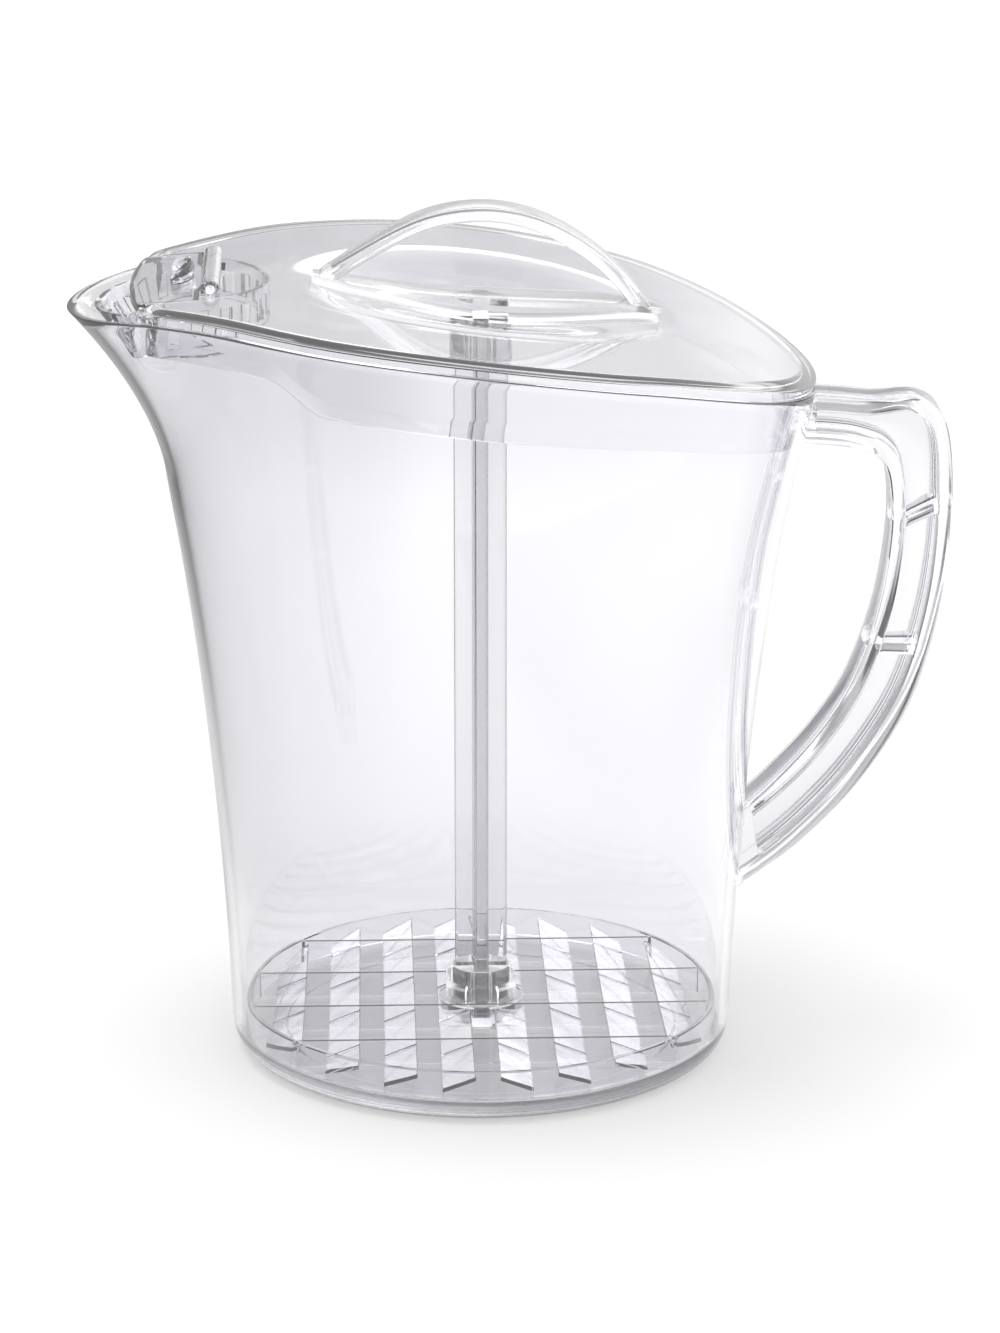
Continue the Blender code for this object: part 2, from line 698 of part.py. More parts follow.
def bar_surfaces():
    """Grids over and under the grip's lower bar, which fills the lid's dish."""
    top = []
    bottom = []
    length = GRIP_LEFT + GRIP_RIGHT
    for share in np.linspace(0, 1, 17):
        x = -GRIP_LEFT + length * share
        round_end = math.sqrt(max(0.0, 1 - abs(2 * share - 1) ** 3))
        half = BAR_HALF_WIDTH * (BAR_TIP_SHARE + (1 - BAR_TIP_SHARE) * round_end)
        across = half * np.array([-1.0, -0.5, 0.0, 0.5, 1.0])
        under = lid_height(x, across) + TOUCH_GAP
        thick = BAR_THICKNESS * smooth_curve(share, BAR_PLACE_SHARES, BAR_THICKNESS_SHARES)
        over = float(lid_height(x, 0.0)) + TOUCH_GAP + thick
        bottom.append([(x, y, z) for y, z in zip(across, under)])
        top.append([(x, y, over) for y in across])
    return np.array(top), np.array(bottom)


def arch_rows():
    """Rounded strip sections along the arch, from the spout side over to the handle side."""
    length = GRIP_LEFT + GRIP_RIGHT - 2 * ARCH_THICKNESS
    start = -GRIP_LEFT + ARCH_THICKNESS
    end = start + length
    low = float(lid_height(start, 0.0)) + ARCH_THICKNESS / 2
    high = float(lid_height(end, 0.0)) + ARCH_THICKNESS / 2
    shares = (1 - np.cos(np.linspace(0, math.pi, 25))) / 2
    x = start + length * shares
    z = low + (high - low) * shares + grip_rise(shares)
    slope_x = np.gradient(x)
    slope_z = np.gradient(z)
    size = np.hypot(slope_x, slope_z)
    normal_x = -slope_z / size
    normal_z = slope_x / size
    rows = []
    for k, share in enumerate(shares):
        middle = math.sin(math.pi * share)
        half = (ARCH_FOOT_WIDTH + (ARCH_WIDTH - ARCH_FOOT_WIDTH) * middle) / 2
        thick = ARCH_THICKNESS / 2
        bevel = ARCH_THICKNESS / 4
        section = [
            (half, -thick + bevel),
            (half, thick - bevel),
            (half - bevel, thick),
            (-half + bevel, thick),
            (-half, thick - bevel),
            (-half, -thick + bevel),
            (-half + bevel, -thick),
            (half - bevel, -thick),
        ]
        rows.append([(x[k] + normal_x[k] * up, y, z[k] + normal_z[k] * up) for y, up in section])
    return rows


def rod_top():
    """Upper end of the rod, inside the grip's socket."""
    return dish_floor() + SOCKET_DEPTH


def build_grip():
    """D-shaped grip: an arch over a lower bar, with the rod's socket in the bar."""
    grip = piece("plunger_grip", *slab(*bar_surfaces()))
    join(grip, "grip_arch", loft(arch_rows()))
    span = ROD_SPAN + 2 * TOUCH_GAP
    fin = ROD_FIN + 2 * TOUCH_GAP
    socket = cross_solid(span, fin, dish_floor() - CUT_OVERRUN, rod_top() + TOUCH_GAP)
    cut(grip, "grip_socket", socket)
    return grip


def disc_bottom():
    """Underside of the mixing disc, just clear of the jug's floor."""
    return FLOOR + RUNNING_GAP


def rod_bottom():
    """Lower end of the rod, inside the disc's hub."""
    return disc_bottom() + SLAT_INSET + HUB_FLOOR + TOUCH_GAP


def build_rod():
    """Cross-shaped plunger rod."""
    return piece("plunger_rod", *cross_solid(ROD_SPAN, ROD_FIN, rod_bottom(), rod_top()))


def disc_radius():
    """Outer radius of the mixing disc, which runs just inside the jug's wall."""
    return float(turned_radius(disc_bottom())) - WALL - DISC_CLEARANCE


def vane(middle, half, slope, reach):
    """Inclined slat along Y whose ends follow the ring."""
    rows = []
    centre_z = disc_bottom() + RING_HEIGHT / 2
    for side in (-1, 1):
        x = middle + side * half * math.cos(slope)
        z = centre_z + side * half * math.sin(slope)
        end = math.sqrt(reach**2 - x**2)
        low = z - VANE_WALL / 2
        high = z + VANE_WALL / 2
        rows.append([(x, -end, low), (x, end, low), (x, end, high), (x, -end, high)])
    return loft(rows)


def build_disc():
    """Slatted mixing disc: a ring, straight bars along X, inclined vanes along Y and a hub."""
    radius = disc_radius()
    low = disc_bottom()
    high = low + RING_HEIGHT
    angles = circle_angles(3 * ROUND_SIDES)
    inner = radius - RING_WALL
    rims = ((inner, low), (radius, low), (radius, high), (inner, high))
    rows = [ring(angles, r, z) for r, z in rims]
    disc = piece("mixing_disc", *loft(rows, closed=True))
    reach = radius - RING_WALL / 2
    spacing = 2 * radius / (BAR_COUNT + 1)
    for k in range(BAR_COUNT):
        y = (k - (BAR_COUNT - 1) / 2) * spacing
        end = math.sqrt(reach**2 - y**2)
        corners = ((-end, y - BAR_WALL / 2, low + SLAT_INSET), (end, y + BAR_WALL / 2, high - SLAT_INSET))
        join(disc, f"bar_{k}", block(*corners))
    pitch = reach / (VANES_PER_SIDE + 0.25)
    for side, name in ((-1, "left"), (1, "right")):
        for k in range(VANES_PER_SIDE):
            shape = vane(side * (k + 0.5) * pitch, VANE_WIDTH / 2, -side * VANE_ANGLE, reach)
            join(disc, f"vane_{name}_{k}", shape)
    sleeve = ROD_SPAN / 2 + TOUCH_GAP + SLEEVE_WALL
    angles = circle_angles(ROUND_SIDES)
    rows = [
        ring(angles, HUB_RADIUS, low + SLAT_INSET),
        ring(angles, HUB_RADIUS, low + HUB_HEIGHT),
        ring(angles, sleeve, low + HUB_HEIGHT + SLEEVE_WALL),
        ring(angles, sleeve, low + SLEEVE_TOP),
    ]
    join(disc, "hub", loft(rows))
    span = ROD_SPAN + 2 * TOUCH_GAP
    fin = ROD_FIN + 2 * TOUCH_GAP
    socket = cross_solid(span, fin, rod_bottom() - TOUCH_GAP, low + SLEEVE_TOP + CUT_OVERRUN)
    cut(disc, "hub_socket", socket)
    return disc


def build():
    """Clears the scene, makes every piece and hangs the moving ones on their joints."""
    for old in list(bpy.data.objects):
        bpy.data.objects.remove(old, do_unlink=True)
    build_body()
    build_handle()
    hinge_x, hinge_z = hinge_place()
    lid_lift = joint_empty("lid_lift", (0.0, 0.0, dish_floor()))
    plunger_slide = joint_empty("plunger_slide", (0.0, 0.0, rod_top()), lid_lift)
    cap_hinge = joint_empty("cap_hinge", (hinge_x, 0.0, hinge_z), lid_lift)
    carry(build_lid(), lid_lift)
    carry(build_strainer(), lid_lift)
    carry(build_pin(), lid_lift)
    carry(build_cap(), cap_hinge)
    for made in (build_grip(), build_rod(), build_disc()):
        carry(made, plunger_slide)


build()
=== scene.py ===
"""Quick stir pitcher in clear moulded plastic: jug, side handle, lid with spout cap and strainer, and
a plunger with a slatted mixing disc.

Lengths are in metres. The origin is the centre of the underside, +Z is up, +X points to the side
handle and the spout is on the -X side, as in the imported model.
"""

import math

import bmesh
import bpy
import numpy as np
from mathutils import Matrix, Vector


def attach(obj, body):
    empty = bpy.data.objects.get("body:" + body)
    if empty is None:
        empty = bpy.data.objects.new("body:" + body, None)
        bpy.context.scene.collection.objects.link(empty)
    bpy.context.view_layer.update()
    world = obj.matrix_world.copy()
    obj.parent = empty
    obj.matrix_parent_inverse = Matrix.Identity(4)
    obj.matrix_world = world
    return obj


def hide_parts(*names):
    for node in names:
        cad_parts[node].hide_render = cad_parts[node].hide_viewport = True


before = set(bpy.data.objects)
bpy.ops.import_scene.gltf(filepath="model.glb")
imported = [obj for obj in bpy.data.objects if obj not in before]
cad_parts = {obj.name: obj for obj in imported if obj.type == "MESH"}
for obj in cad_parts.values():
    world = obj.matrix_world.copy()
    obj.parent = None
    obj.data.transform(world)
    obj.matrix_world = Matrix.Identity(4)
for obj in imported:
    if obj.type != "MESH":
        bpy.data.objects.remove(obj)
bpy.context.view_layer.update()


def new_object(name, data):
    """Object made from its data and linked to the scene."""
    made = bpy.data.objects.new(name, data)
    bpy.context.scene.collection.objects.link(made)
    return made


# Camera
# It looks down on the jug's side at the photograph's angle, from far enough for a long lens, and
# the jug's handle end is turned a little away from it.
PITCH = math.radians(16.886)
TURN = math.radians(-2.0)
DISTANCE = 1.3733
AIM_HEIGHT = 0.1118
AIM_SIDE = 0.0056
LENS = 129.63
FAR_CLIP = 200

ahead = Vector((-math.sin(TURN) * math.cos(PITCH), math.cos(TURN) * math.cos(PITCH), -math.sin(PITCH)))
aside = Vector((math.cos(TURN), math.sin(TURN), 0))
camera = new_object("camera", bpy.data.cameras.new("camera"))
camera.location = Vector((0, 0, AIM_HEIGHT)) + aside * AIM_SIDE - ahead * DISTANCE
camera.rotation_euler = (math.pi / 2 - PITCH, 0, TURN)
camera.data.lens = LENS
camera.data.clip_end = FAR_CLIP
bpy.context.scene.camera = camera
bpy.context.scene.view_settings.view_transform = "Standard"


# Studio
# The plastic sees a tent that is bright low down and dimmer above and on the left, which draws its
# edges. A bright band and a small patch on the right light the disc's slats. A broad overhead lamp
# lights the floor alone and lays the jug's soft shadow on it.
TENT_STOPS = (
    (0.0, 1.1), (0.12, 1.1), (0.17, 0.67), (0.225, 0.67), (0.245, 3.0), (0.29, 3.0),
    (0.32, 0.9), (0.4, 0.8), (0.5, 0.5),
)
PATCH_UP_STOPS = ((0.17, 0.0), (0.195, 1.6), (0.215, 1.6), (0.24, 0.0))
PATCH_SIDE_STOPS = ((0.595, 0.0), (0.615, 1.0), (0.66, 1.0), (0.7, 0.0))
SIDE_STOPS = ((0.0, 0.35), (0.35, 0.62), (0.47, 0.72), (0.55, 0.98), (0.7, 1.15), (1.0, 1.15))
BOTH_SIDES = (-1.0, 1.0)
SKY_FOR_FLOOR = 1.04
SUN_STRENGTH = 0.8
SUN_WIDTH = 24
SUN_AIM = (0.16, 0.03, -1.0)


def new_nodes(tree):
    """Empties a node tree and returns a function that adds a node and sets its inputs by name."""
    tree.nodes.clear()

    def add(kind, inputs=None, **settings):
        node = tree.nodes.new(kind)
        for key, value in settings.items():
            setattr(node, key, value)
        for key, value in (inputs or {}).items():
            if isinstance(value, bpy.types.NodeSocket):
                tree.links.new(value, node.inputs[key])
            else:
                node.inputs[key].default_value = value
        return node

    return add


def ramp(add, value, stops):
    """Colour ramp through stops of a position and a grey level."""
    node = add("ShaderNodeValToRGB", {"Fac": value})
    elements = node.color_ramp.elements
    while len(elements) < len(stops):
        elements.new(0.5)
    for element, (position, level) in zip(elements, stops):
        element.position = position
        element.color = (level, level, level, 1)
    return node.outputs["Color"]


def combine(add, operation, first, second):
    """Sum, product or comparison of two grey values."""
    return add("ShaderNodeMath", {0: first, 1: second}, operation=operation).outputs[0]


def grey_times(add, first, second):
    """Product of two grey values."""
    return combine(add, "MULTIPLY", first, second)


def tinted(add, colour, other):
    """Product of two colours."""
    node = add("ShaderNodeMix", {"Factor": 1.0, 6: colour, 7: other}, data_type="RGBA", blend_type="MULTIPLY")
    return node.outputs[2]


def remap(add, value, source, target=(0.0, 1.0)):
    """Value carried from one range to another and held within it."""
    ends = {"From Min": source[0], "From Max": source[1], "To Min": target[0], "To Max": target[1]}
    return add("ShaderNodeMapRange", {"Value": value, **ends}).outputs[0]


def choose(add, factor, otherwise, chosen):
    """The chosen value where the factor is one, the other value where it's nought."""
    return add("ShaderNodeMix", {0: factor, 2: otherwise, 3: chosen}).outputs[0]


world = bpy.data.worlds.new("studio")
world.use_nodes = True
bpy.context.scene.world = world
add = new_nodes(world.node_tree)
direction = add("ShaderNodeSeparateXYZ", {"Vector": add("ShaderNodeTexCoord").outputs["Generated"]})
tent = ramp(add, direction.outputs["Z"], TENT_STOPS)
sideways = remap(add, direction.outputs["X"], BOTH_SIDES)
tent = grey_times(add, tent, ramp(add, sideways, SIDE_STOPS))
patch_up = ramp(add, direction.outputs["Z"], PATCH_UP_STOPS)
patch = grey_times(add, patch_up, ramp(add, sideways, PATCH_SIDE_STOPS))
tent = combine(add, "ADD", tent, patch)
path = add("ShaderNodeLightPath").outputs
level = choose(add, path["Is Diffuse Ray"], tent, SKY_FOR_FLOOR)
level = choose(add, path["Is Camera Ray"], level, 1.0)
background = add("ShaderNodeBackground", {"Color": (1, 1, 1, 1), "Strength": level})
add("ShaderNodeOutputWorld", {"Surface": background.outputs[0]})
sun = bpy.data.lights.new("overhead", "SUN")
sun.angle = math.radians(SUN_WIDTH)
sun.energy = SUN_STRENGTH
overhead = new_object("overhead", sun)
overhead.rotation_euler = Vector(SUN_AIM).to_track_quat("-Z", "Y").to_euler()
overhead.visible_glossy = False
overhead.visible_transmission = False


# Floor
# A plain white sheet that glows a little, so that the jug's shadow on it stays soft. Only the
# plastic sees painted light and shade on it: painted light under the jug, painted shade on the
# left, a painted shadow just behind the jug and painted shade far behind it, and in mirror rays a
# painted dark card on the left, which draws the walls' edges.
FLOOR_HALF = 20.0
FLOOR_LEVEL = -0.0002
FLOOR_GLOW = 0.44
PAPER_LEVEL = 0.93
ANY_MIRROR = 0.5
# Painted light and shade that only the plastic sees. Mirror rays see a painted dark card on the left. Rays
# through the plastic see a painted dimmer left side. Both see painted light under the jug and a painted
# shadow behind it.
PAINTED_DARK_CARD_STOPS = ((0.32, 0.08), (0.375, 0.32), (0.43, 0.81), (0.46, 0.87), (0.5, 0.95), (0.55, 1.0), (0.6, 1.06))
PAINTED_SIDE_SHADE_STOPS = ((0.32, 0.76), (0.375, 0.77), (0.43, 0.81), (0.46, 0.86), (0.5, 0.94), (0.55, 1.0), (0.6, 1.06))
PAINTED_LIGHT_AND_SHADOW_STOPS = ((0.06, 1.1), (0.13, 0.92), (0.3, 0.97), (0.5, 1.0), (0.6, 0.99), (0.76, 0.88))

corners = [(x * FLOOR_HALF, y * FLOOR_HALF, FLOOR_LEVEL) for x, y in ((-1, -1), (1, -1), (1, 1), (-1, 1))]
floor_mesh = bpy.data.meshes.new("floor")
floor_mesh.from_pydata(corners, [], [(0, 1, 2, 3)])
floor = new_object("floor", floor_mesh)
paper = bpy.data.materials.new("white_paper")
paper.use_nodes = True
add = new_nodes(paper.node_tree)
place = add("ShaderNodeSeparateXYZ", {"Vector": add("ShaderNodeTexCoord").outputs["Object"]})
across = remap(add, place.outputs["X"], BOTH_SIDES)
# For every ray except camera rays, the floor's colour carries this painted light and shade.
behind = ramp(add, place.outputs["Y"], PAINTED_LIGHT_AND_SHADOW_STOPS)
path = add("ShaderNodeLightPath").outputs
mirrored = combine(add, "GREATER_THAN", path["Glossy Depth"], ANY_MIRROR)
painted_card_level = choose(add, mirrored, ramp(add, across, PAINTED_SIDE_SHADE_STOPS), ramp(add, across, PAINTED_DARK_CARD_STOPS))
sheet = choose(add, path["Is Camera Ray"], grey_times(add, painted_card_level, behind), 1.0)
matt = add("ShaderNodeBsdfDiffuse", {"Color": grey_times(add, sheet, PAPER_LEVEL)})
glow = add("ShaderNodeEmission", {"Color": sheet, "Strength": 1.0})
both = add("ShaderNodeMixShader", {"Fac": FLOOR_GLOW, 1: matt.outputs[0], 2: glow.outputs[0]})
add("ShaderNodeOutputMaterial", {"Surface": both.outputs[0]})
floor_mesh.materials.append(paper)


# Clear plastic
# One group gives every piece the same surface of ripple, haze and hairline marks. Each plastic adds
# a tint, a depth colour, a painted glow that stands in for trapped light and a painted darker edge
# of its own.
HAZE_SCALE = 240.0
HAZE_BAND = (0.45, 0.8)
MARK_SCALE = 900.0
MARK_STRETCH = (1.0, 1.0, 0.06)
MARK_BAND = (0.66, 0.74)
MARK_ROUGHNESS = 0.06
MARK_HEIGHT = -0.002
SHADE_BAND = (0.3, 0.7)
SHADE_LEVELS = (0.985, 1.0)


def plastic_surface_group():
    """Moulded plastic's surface: a slow ripple from the mould, fine haze and faint hairline marks.

    The ripple is low noise, the haze is high noise pressed to its peaks, and the marks are a
    stretched noise cut to thin bands. They feed the height, the roughness and the colour."""
    group = bpy.data.node_groups.new("moulded_plastic_surface", "ShaderNodeTree")
    for label in ("Ripple Scale", "Ripple", "Haze", "Roughness", "Marks"):
        group.interface.new_socket(label, in_out="INPUT", socket_type="NodeSocketFloat")
    group.interface.new_socket("Tint", in_out="INPUT", socket_type="NodeSocketColor")
    group.interface.new_socket("Colour", in_out="OUTPUT", socket_type="NodeSocketColor")
    group.interface.new_socket("Roughness", in_out="OUTPUT", socket_type="NodeSocketFloat")
    group.interface.new_socket("Height", in_out="OUTPUT", socket_type="NodeSocketFloat")
    add = new_nodes(group)
    given = add("NodeGroupInput").outputs
    place = add("ShaderNodeTexCoord").outputs["Object"]
    ripple = add("ShaderNodeTexNoise", {"Vector": place, "Scale": given["Ripple Scale"], "Detail": 1.0})
    haze = add("ShaderNodeTexNoise", {"Vector": place, "Scale": HAZE_SCALE, "Detail": 3.0})
    stretched = add("ShaderNodeMapping", {"Vector": place, "Scale": MARK_STRETCH})
    marks = add("ShaderNodeTexNoise", {"Vector": stretched.outputs[0], "Scale": MARK_SCALE, "Detail": 2.0})
    thin = grey_times(add, remap(add, marks.outputs["Fac"], MARK_BAND), given["Marks"])
    peaks = remap(add, haze.outputs["Fac"], HAZE_BAND, (0.0, given["Haze"]))
    rough = combine(add, "ADD", peaks, grey_times(add, thin, MARK_ROUGHNESS))
    rough = combine(add, "ADD", rough, given["Roughness"])
    shade = remap(add, ripple.outputs["Fac"], SHADE_BAND, SHADE_LEVELS)
    grey = add("ShaderNodeCombineColor", {"Red": shade, "Green": shade, "Blue": shade})
    colour = tinted(add, given["Tint"], grey.outputs[0])
    wave = grey_times(add, ripple.outputs["Fac"], given["Ripple"])
    height = combine(add, "ADD", wave, grey_times(add, thin, MARK_HEIGHT))
    add("NodeGroupOutput", {"Colour": colour, "Roughness": rough, "Height": height})
    return group


PLASTIC_SURFACE = plastic_surface_group()
PLASTIC_IOR = 1.49
RELIEF = 0.0004
GLOW_BOUNCES = 2.5
SCUFF_TOP = 0.0064
SCUFF_ROUGHNESS = 0.16
DEPTH_COLOUR = (0.51, 0.5, 0.58)


def clear_plastic(name, tint, density, painted_glow_level, edge, surface, depth_colour=DEPTH_COLOUR):
    """Clear plastic that darkens with the length of plastic that the light crosses.

    Past a few mirror bounces inside it, each further hit gives off a painted even grey glow that
    stands in for light trapped in the plastic. Past a facing value the surface lets a growing share
    less light through, a painted edge shade that draws dark outlines, and it is scuffed near the floor."""
    material = bpy.data.materials.new(name)
    material.use_nodes = True
    add = new_nodes(material.node_tree)
    look = add("ShaderNodeGroup", node_tree=PLASTIC_SURFACE)
    look.inputs["Tint"].default_value = (*tint, 1)
    for key, value in surface.items():
        look.inputs[key].default_value = value
    place = add("ShaderNodeSeparateXYZ", {"Vector": add("ShaderNodeTexCoord").outputs["Object"]})
    scuff = remap(add, place.outputs["Z"], (SCUFF_TOP, SCUFF_TOP / 2), (0.0, SCUFF_ROUGHNESS))
    relief = add("ShaderNodeBump", {"Height": look.outputs["Height"], "Strength": 1.0, "Distance": RELIEF})
    # Painted edge shade: past the facing value, the colour darkens towards the silhouette.
    turned = add("ShaderNodeLayerWeight", {"Blend": 0.5}).outputs["Facing"]
    shade = remap(add, turned, (edge[0], 1.0), (1.0, 1 - edge[1]))
    # Painted glow: after a few mirror bounces, every hit gives off an even grey that stands in for light
    # trapped inside.
    bounces = add("ShaderNodeLightPath").outputs["Glossy Depth"]
    painted_glow_mask = combine(add, "GREATER_THAN", bounces, GLOW_BOUNCES)
    shader = add(
        "ShaderNodeBsdfPrincipled",
        {
            "Base Color": tinted(add, look.outputs["Colour"], shade),
            "Roughness": combine(add, "ADD", look.outputs["Roughness"], scuff),
            "Normal": relief.outputs[0],
            "Metallic": 0.0,
            "IOR": PLASTIC_IOR,
            "Transmission Weight": 1.0,
            "Emission Color": grey_times(add, painted_glow_mask, painted_glow_level),
            "Emission Strength": 1.0,
        },
    )
    depth = add("ShaderNodeVolumeAbsorption", {"Color": (*depth_colour, 1), "Density": density})
    add("ShaderNodeOutputMaterial", {"Surface": shader.outputs[0], "Volume": depth.outputs[0]})
    material.cycles.emission_sampling = "NONE"
    return material


# Shapes
# Every piece is made from rings of points that are joined to a closed mesh, with other shapes cut
# from it or joined on.
MERGE_DISTANCE = 1e-6
SHARP_ANGLE = 32
CORNER_LIMIT_SHARE = 0.45


def around(radius, height, azimuths):
    """Ring of points at a radius and a height, each a number or one value for each azimuth."""
    x = radius * np.cos(azimuths)
    y = radius * np.sin(azimuths)
    return np.stack([x, y, np.broadcast_to(height, x.shape)], axis=-1)


def arc(start, end, steps):
    """Cosines and sines along an arc."""
    angles = np.linspace(start, end, steps)
    return list(zip(np.cos(angles), np.sin(angles)))


def soften(outline, radii, steps):
    """Rounds every corner of closed outlines: each corner becomes a short parabola between two
    points at its radius along its sides. The last two axes are corners and coordinates."""
    before = np.roll(outline, 1, axis=-2) - outline
    after = np.roll(outline, -1, axis=-2) - outline
    before_length = np.linalg.norm(before, axis=-1, keepdims=True)
    after_length = np.linalg.norm(after, axis=-1, keepdims=True)
    radii = np.asarray(radii, float).reshape(-1, 1)
    start = outline + before / before_length * np.minimum(radii, CORNER_LIMIT_SHARE * before_length)
    end = outline + after / after_length * np.minimum(radii, CORNER_LIMIT_SHARE * after_length)
    pieces = []
    for t in np.linspace(0, 1, steps):
        pieces.append((1 - t) ** 2 * start + 2 * t * (1 - t) * outline + t * t * end)
    mixed = np.stack(pieces, axis=-2)
    return mixed.reshape(*outline.shape[:-2], -1, outline.shape[-1])


def skin(rings, closed=False):
    """Points and faces over rings of equal count: quads between rings, and either a fan to the
    middle of each end ring or a strip from the last ring back to the first."""
    rings = np.asarray(rings, float)
    rows, count, _ = rings.shape
    index = np.arange(rows * count).reshape(rows, count)
    if closed:
        index = np.vstack([index, index[:1]])
    quads = np.stack([index[:-1], np.roll(index[:-1], -1, 1), np.roll(index[1:], -1, 1), index[1:]], axis=-1)
    faces = quads.reshape(-1, 4).tolist()
    points = rings.reshape(-1, 3)
    if not closed:
        middles = rings[[0, -1]].mean(axis=1)
        points = np.vstack([points, middles])
        first = np.stack([np.roll(index[0], -1), index[0], np.full(count, rows * count)], axis=-1)
        last = np.stack([index[-1], np.roll(index[-1], -1), np.full(count, rows * count + 1)], axis=-1)
        faces += first.tolist() + last.tolist()
    return points, faces


def outward_mesh(name, points, faces):
    """Mesh with its doubles merged and its faces turned outwards."""
    mesh = bpy.data.meshes.new(name)
    mesh.from_pydata(np.asarray(points).tolist(), [], faces)
    work = bmesh.new()
    work.from_mesh(mesh)
    bmesh.ops.remove_doubles(work, verts=work.verts, dist=MERGE_DISTANCE)
    bmesh.ops.recalc_face_normals(work, faces=work.faces)
    work.to_mesh(mesh)
    work.free()
    return mesh


def moulding(name, points, faces, body, node):
    """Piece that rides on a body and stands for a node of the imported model."""
    made = new_object(name, outward_mesh(name, points, faces))
    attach(made, body)
    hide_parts(node)
    return made


def carve(piece, points, faces, operation="DIFFERENCE"):
    """Cuts a closed shape from a piece, or joins it on, and keeps the resulting mesh alone."""
    tool = new_object("tool", outward_mesh("tool", points, faces))
    step = piece.modifiers.new("carve", "BOOLEAN")
    step.operation = operation
    step.object = tool
    bpy.context.view_layer.update()
    evaluated = piece.evaluated_get(bpy.context.evaluated_depsgraph_get())
    result = bpy.data.meshes.new_from_object(evaluated)
    piece.modifiers.remove(step)
    piece.data = result
    bpy.data.objects.remove(tool)


def finish_mesh(piece, material):
    """Smooth shading with crisp edges above an angle, and the piece's material."""
    piece.data.materials.clear()
    piece.data.materials.append(material)
    piece.data.shade_smooth()
    piece.data.set_sharp_from_angle(angle=math.radians(SHARP_ANGLE))


def face_middles(piece):
    """Middle point of every face, one row each."""
    middles = np.empty(3 * len(piece.data.polygons))
    piece.data.polygons.foreach_get("center", middles)
    return middles.reshape(-1, 3)


def add_material(piece, material, chosen):
    """Gives the chosen faces a second material."""
    piece.data.materials.append(material)
    piece.data.polygons.foreach_set("material_index", chosen.astype(np.int32))


# Jug
# One clear moulding: a thick flat floor, a wall that flares to the rim, and a spout drawn out of it.
# The rim is highest behind the spout and falls towards the handle.
BASE_RADIUS = 0.072
BODY_FLARE = 0.0223
BODY_HEIGHT = 0.2228
WALL = 0.0026
FLOOR = 0.006
BASE_FILLET = 0.007
FLOOR_FILLET = 0.0015
FLARE_HEIGHT_SHARES = (0.0, 0.16, 0.32, 0.485, 0.64, 0.79, 1.0)
FLARE_SHARES = (0.0, 0.067, 0.178, 0.34, 0.54, 0.775, 1.0)
RIM_RADIUS = BASE_RADIUS + BODY_FLARE
RIM_DROP = 0.0285
RIM_PLACE_SHARES = (0.0, 0.09, 0.207, 0.372, 0.55, 0.698, 0.79, 0.905, 1.0)
RIM_DROP_SHARES = (0.144, 0.056, 0.0, 0.05, 0.168, 0.328, 0.461, 0.707, 0.975)
LIP_ROUND = 0.0005
SPOUT_REACH = 0.0212
SPOUT_HEIGHT = 0.0455
SPOUT_POWER = 1.75
NOSE_RADIUS = 0.046
NOSE_CENTRE = RIM_RADIUS + SPOUT_REACH - NOSE_RADIUS
FOOT_RING_INNER = 0.056
FOOT_RING_OUTER = 0.0605
FOOT_RECESS = 0.0007
TOUCH_GAP = 0.0003
TURNS = 400
FILLET_STEPS = 13
LIP_STEPS = 5
CORNER_STEPS = 8
FLOOR_RING_SHARES = (0.1, 0.5, 0.9)
WALL_SHARES = np.concatenate([np.linspace(0.01, 0.7, 48), np.linspace(0.71, 1.0, 32)])


def smooth_curve(place, places, values):
    """Cubic curve through a few points: each point's slope is the mean slope to its neighbours."""
    places = np.asarray(places, float)
    values = np.asarray(values, float)
    slopes = np.gradient(values, places)
    place = np.clip(np.asarray(place, float), places[0], places[-1])
    left = np.clip(np.searchsorted(places, place, side="right") - 1, 0, len(places) - 2)
    step = places[left + 1] - places[left]
    t = (place - places[left]) / step
    start = (1 + 2 * t) * (1 - t) ** 2 * values[left] + t * (1 - t) ** 2 * step * slopes[left]
    end = t * t * (3 - 2 * t) * values[left + 1] + t * t * (t - 1) * step * slopes[left + 1]
    return start + end


def ease(share):
    """Smooth step from nought to one."""
    return share * share * (3 - 2 * share)


def from_spout(azimuth):
    """Angle away from the spout's direction: the distance of the azimuth from half a turn."""
    return np.abs(np.mod(azimuth, 2 * math.pi) - math.pi)


def plan_radius(azimuth):
    """Rim seen from above: the rim circle, two lines tangent to it, and the nose circle."""
    angle = from_spout(azimuth)
    tangent = math.acos((RIM_RADIUS - NOSE_RADIUS) / NOSE_CENTRE)
    nose_end = math.atan2(NOSE_RADIUS * math.sin(tangent), NOSE_CENTRE + NOSE_RADIUS * math.cos(tangent))
    across = NOSE_CENTRE * np.sin(np.minimum(angle, nose_end))
    nose = NOSE_CENTRE * np.cos(angle) + np.sqrt(NOSE_RADIUS**2 - across**2)
    line = RIM_RADIUS / np.cos(np.clip(angle, nose_end, tangent) - tangent)
    return np.where(angle < nose_end, nose, line)


def rim_height(x):
    """Height of the rim along X: full just behind the spout, less towards its tip and the handle."""
    share = (x + RIM_RADIUS + SPOUT_REACH) / (2 * RIM_RADIUS + SPOUT_REACH)
    return BODY_HEIGHT - RIM_DROP * smooth_curve(share, RIM_PLACE_SHARES, RIM_DROP_SHARES)


def turned_radius(z):
    """Radius of the wall without the spout: the base radius plus a growing share of the flare."""
    return BASE_RADIUS + BODY_FLARE * smooth_curve(z / BODY_HEIGHT, FLARE_HEIGHT_SHARES, FLARE_SHARES)


def outer_radius(azimuth, z):
    """Wall with the spout: the turned radius plus the rim's excess times a power of the height."""
    plan = plan_radius(azimuth)
    top = rim_height(plan * np.cos(azimuth))
    share = np.clip((z - top + SPOUT_HEIGHT) / SPOUT_HEIGHT, 0, 1)
    return turned_radius(z) + (plan - turned_radius(top)) * share**SPOUT_POWER


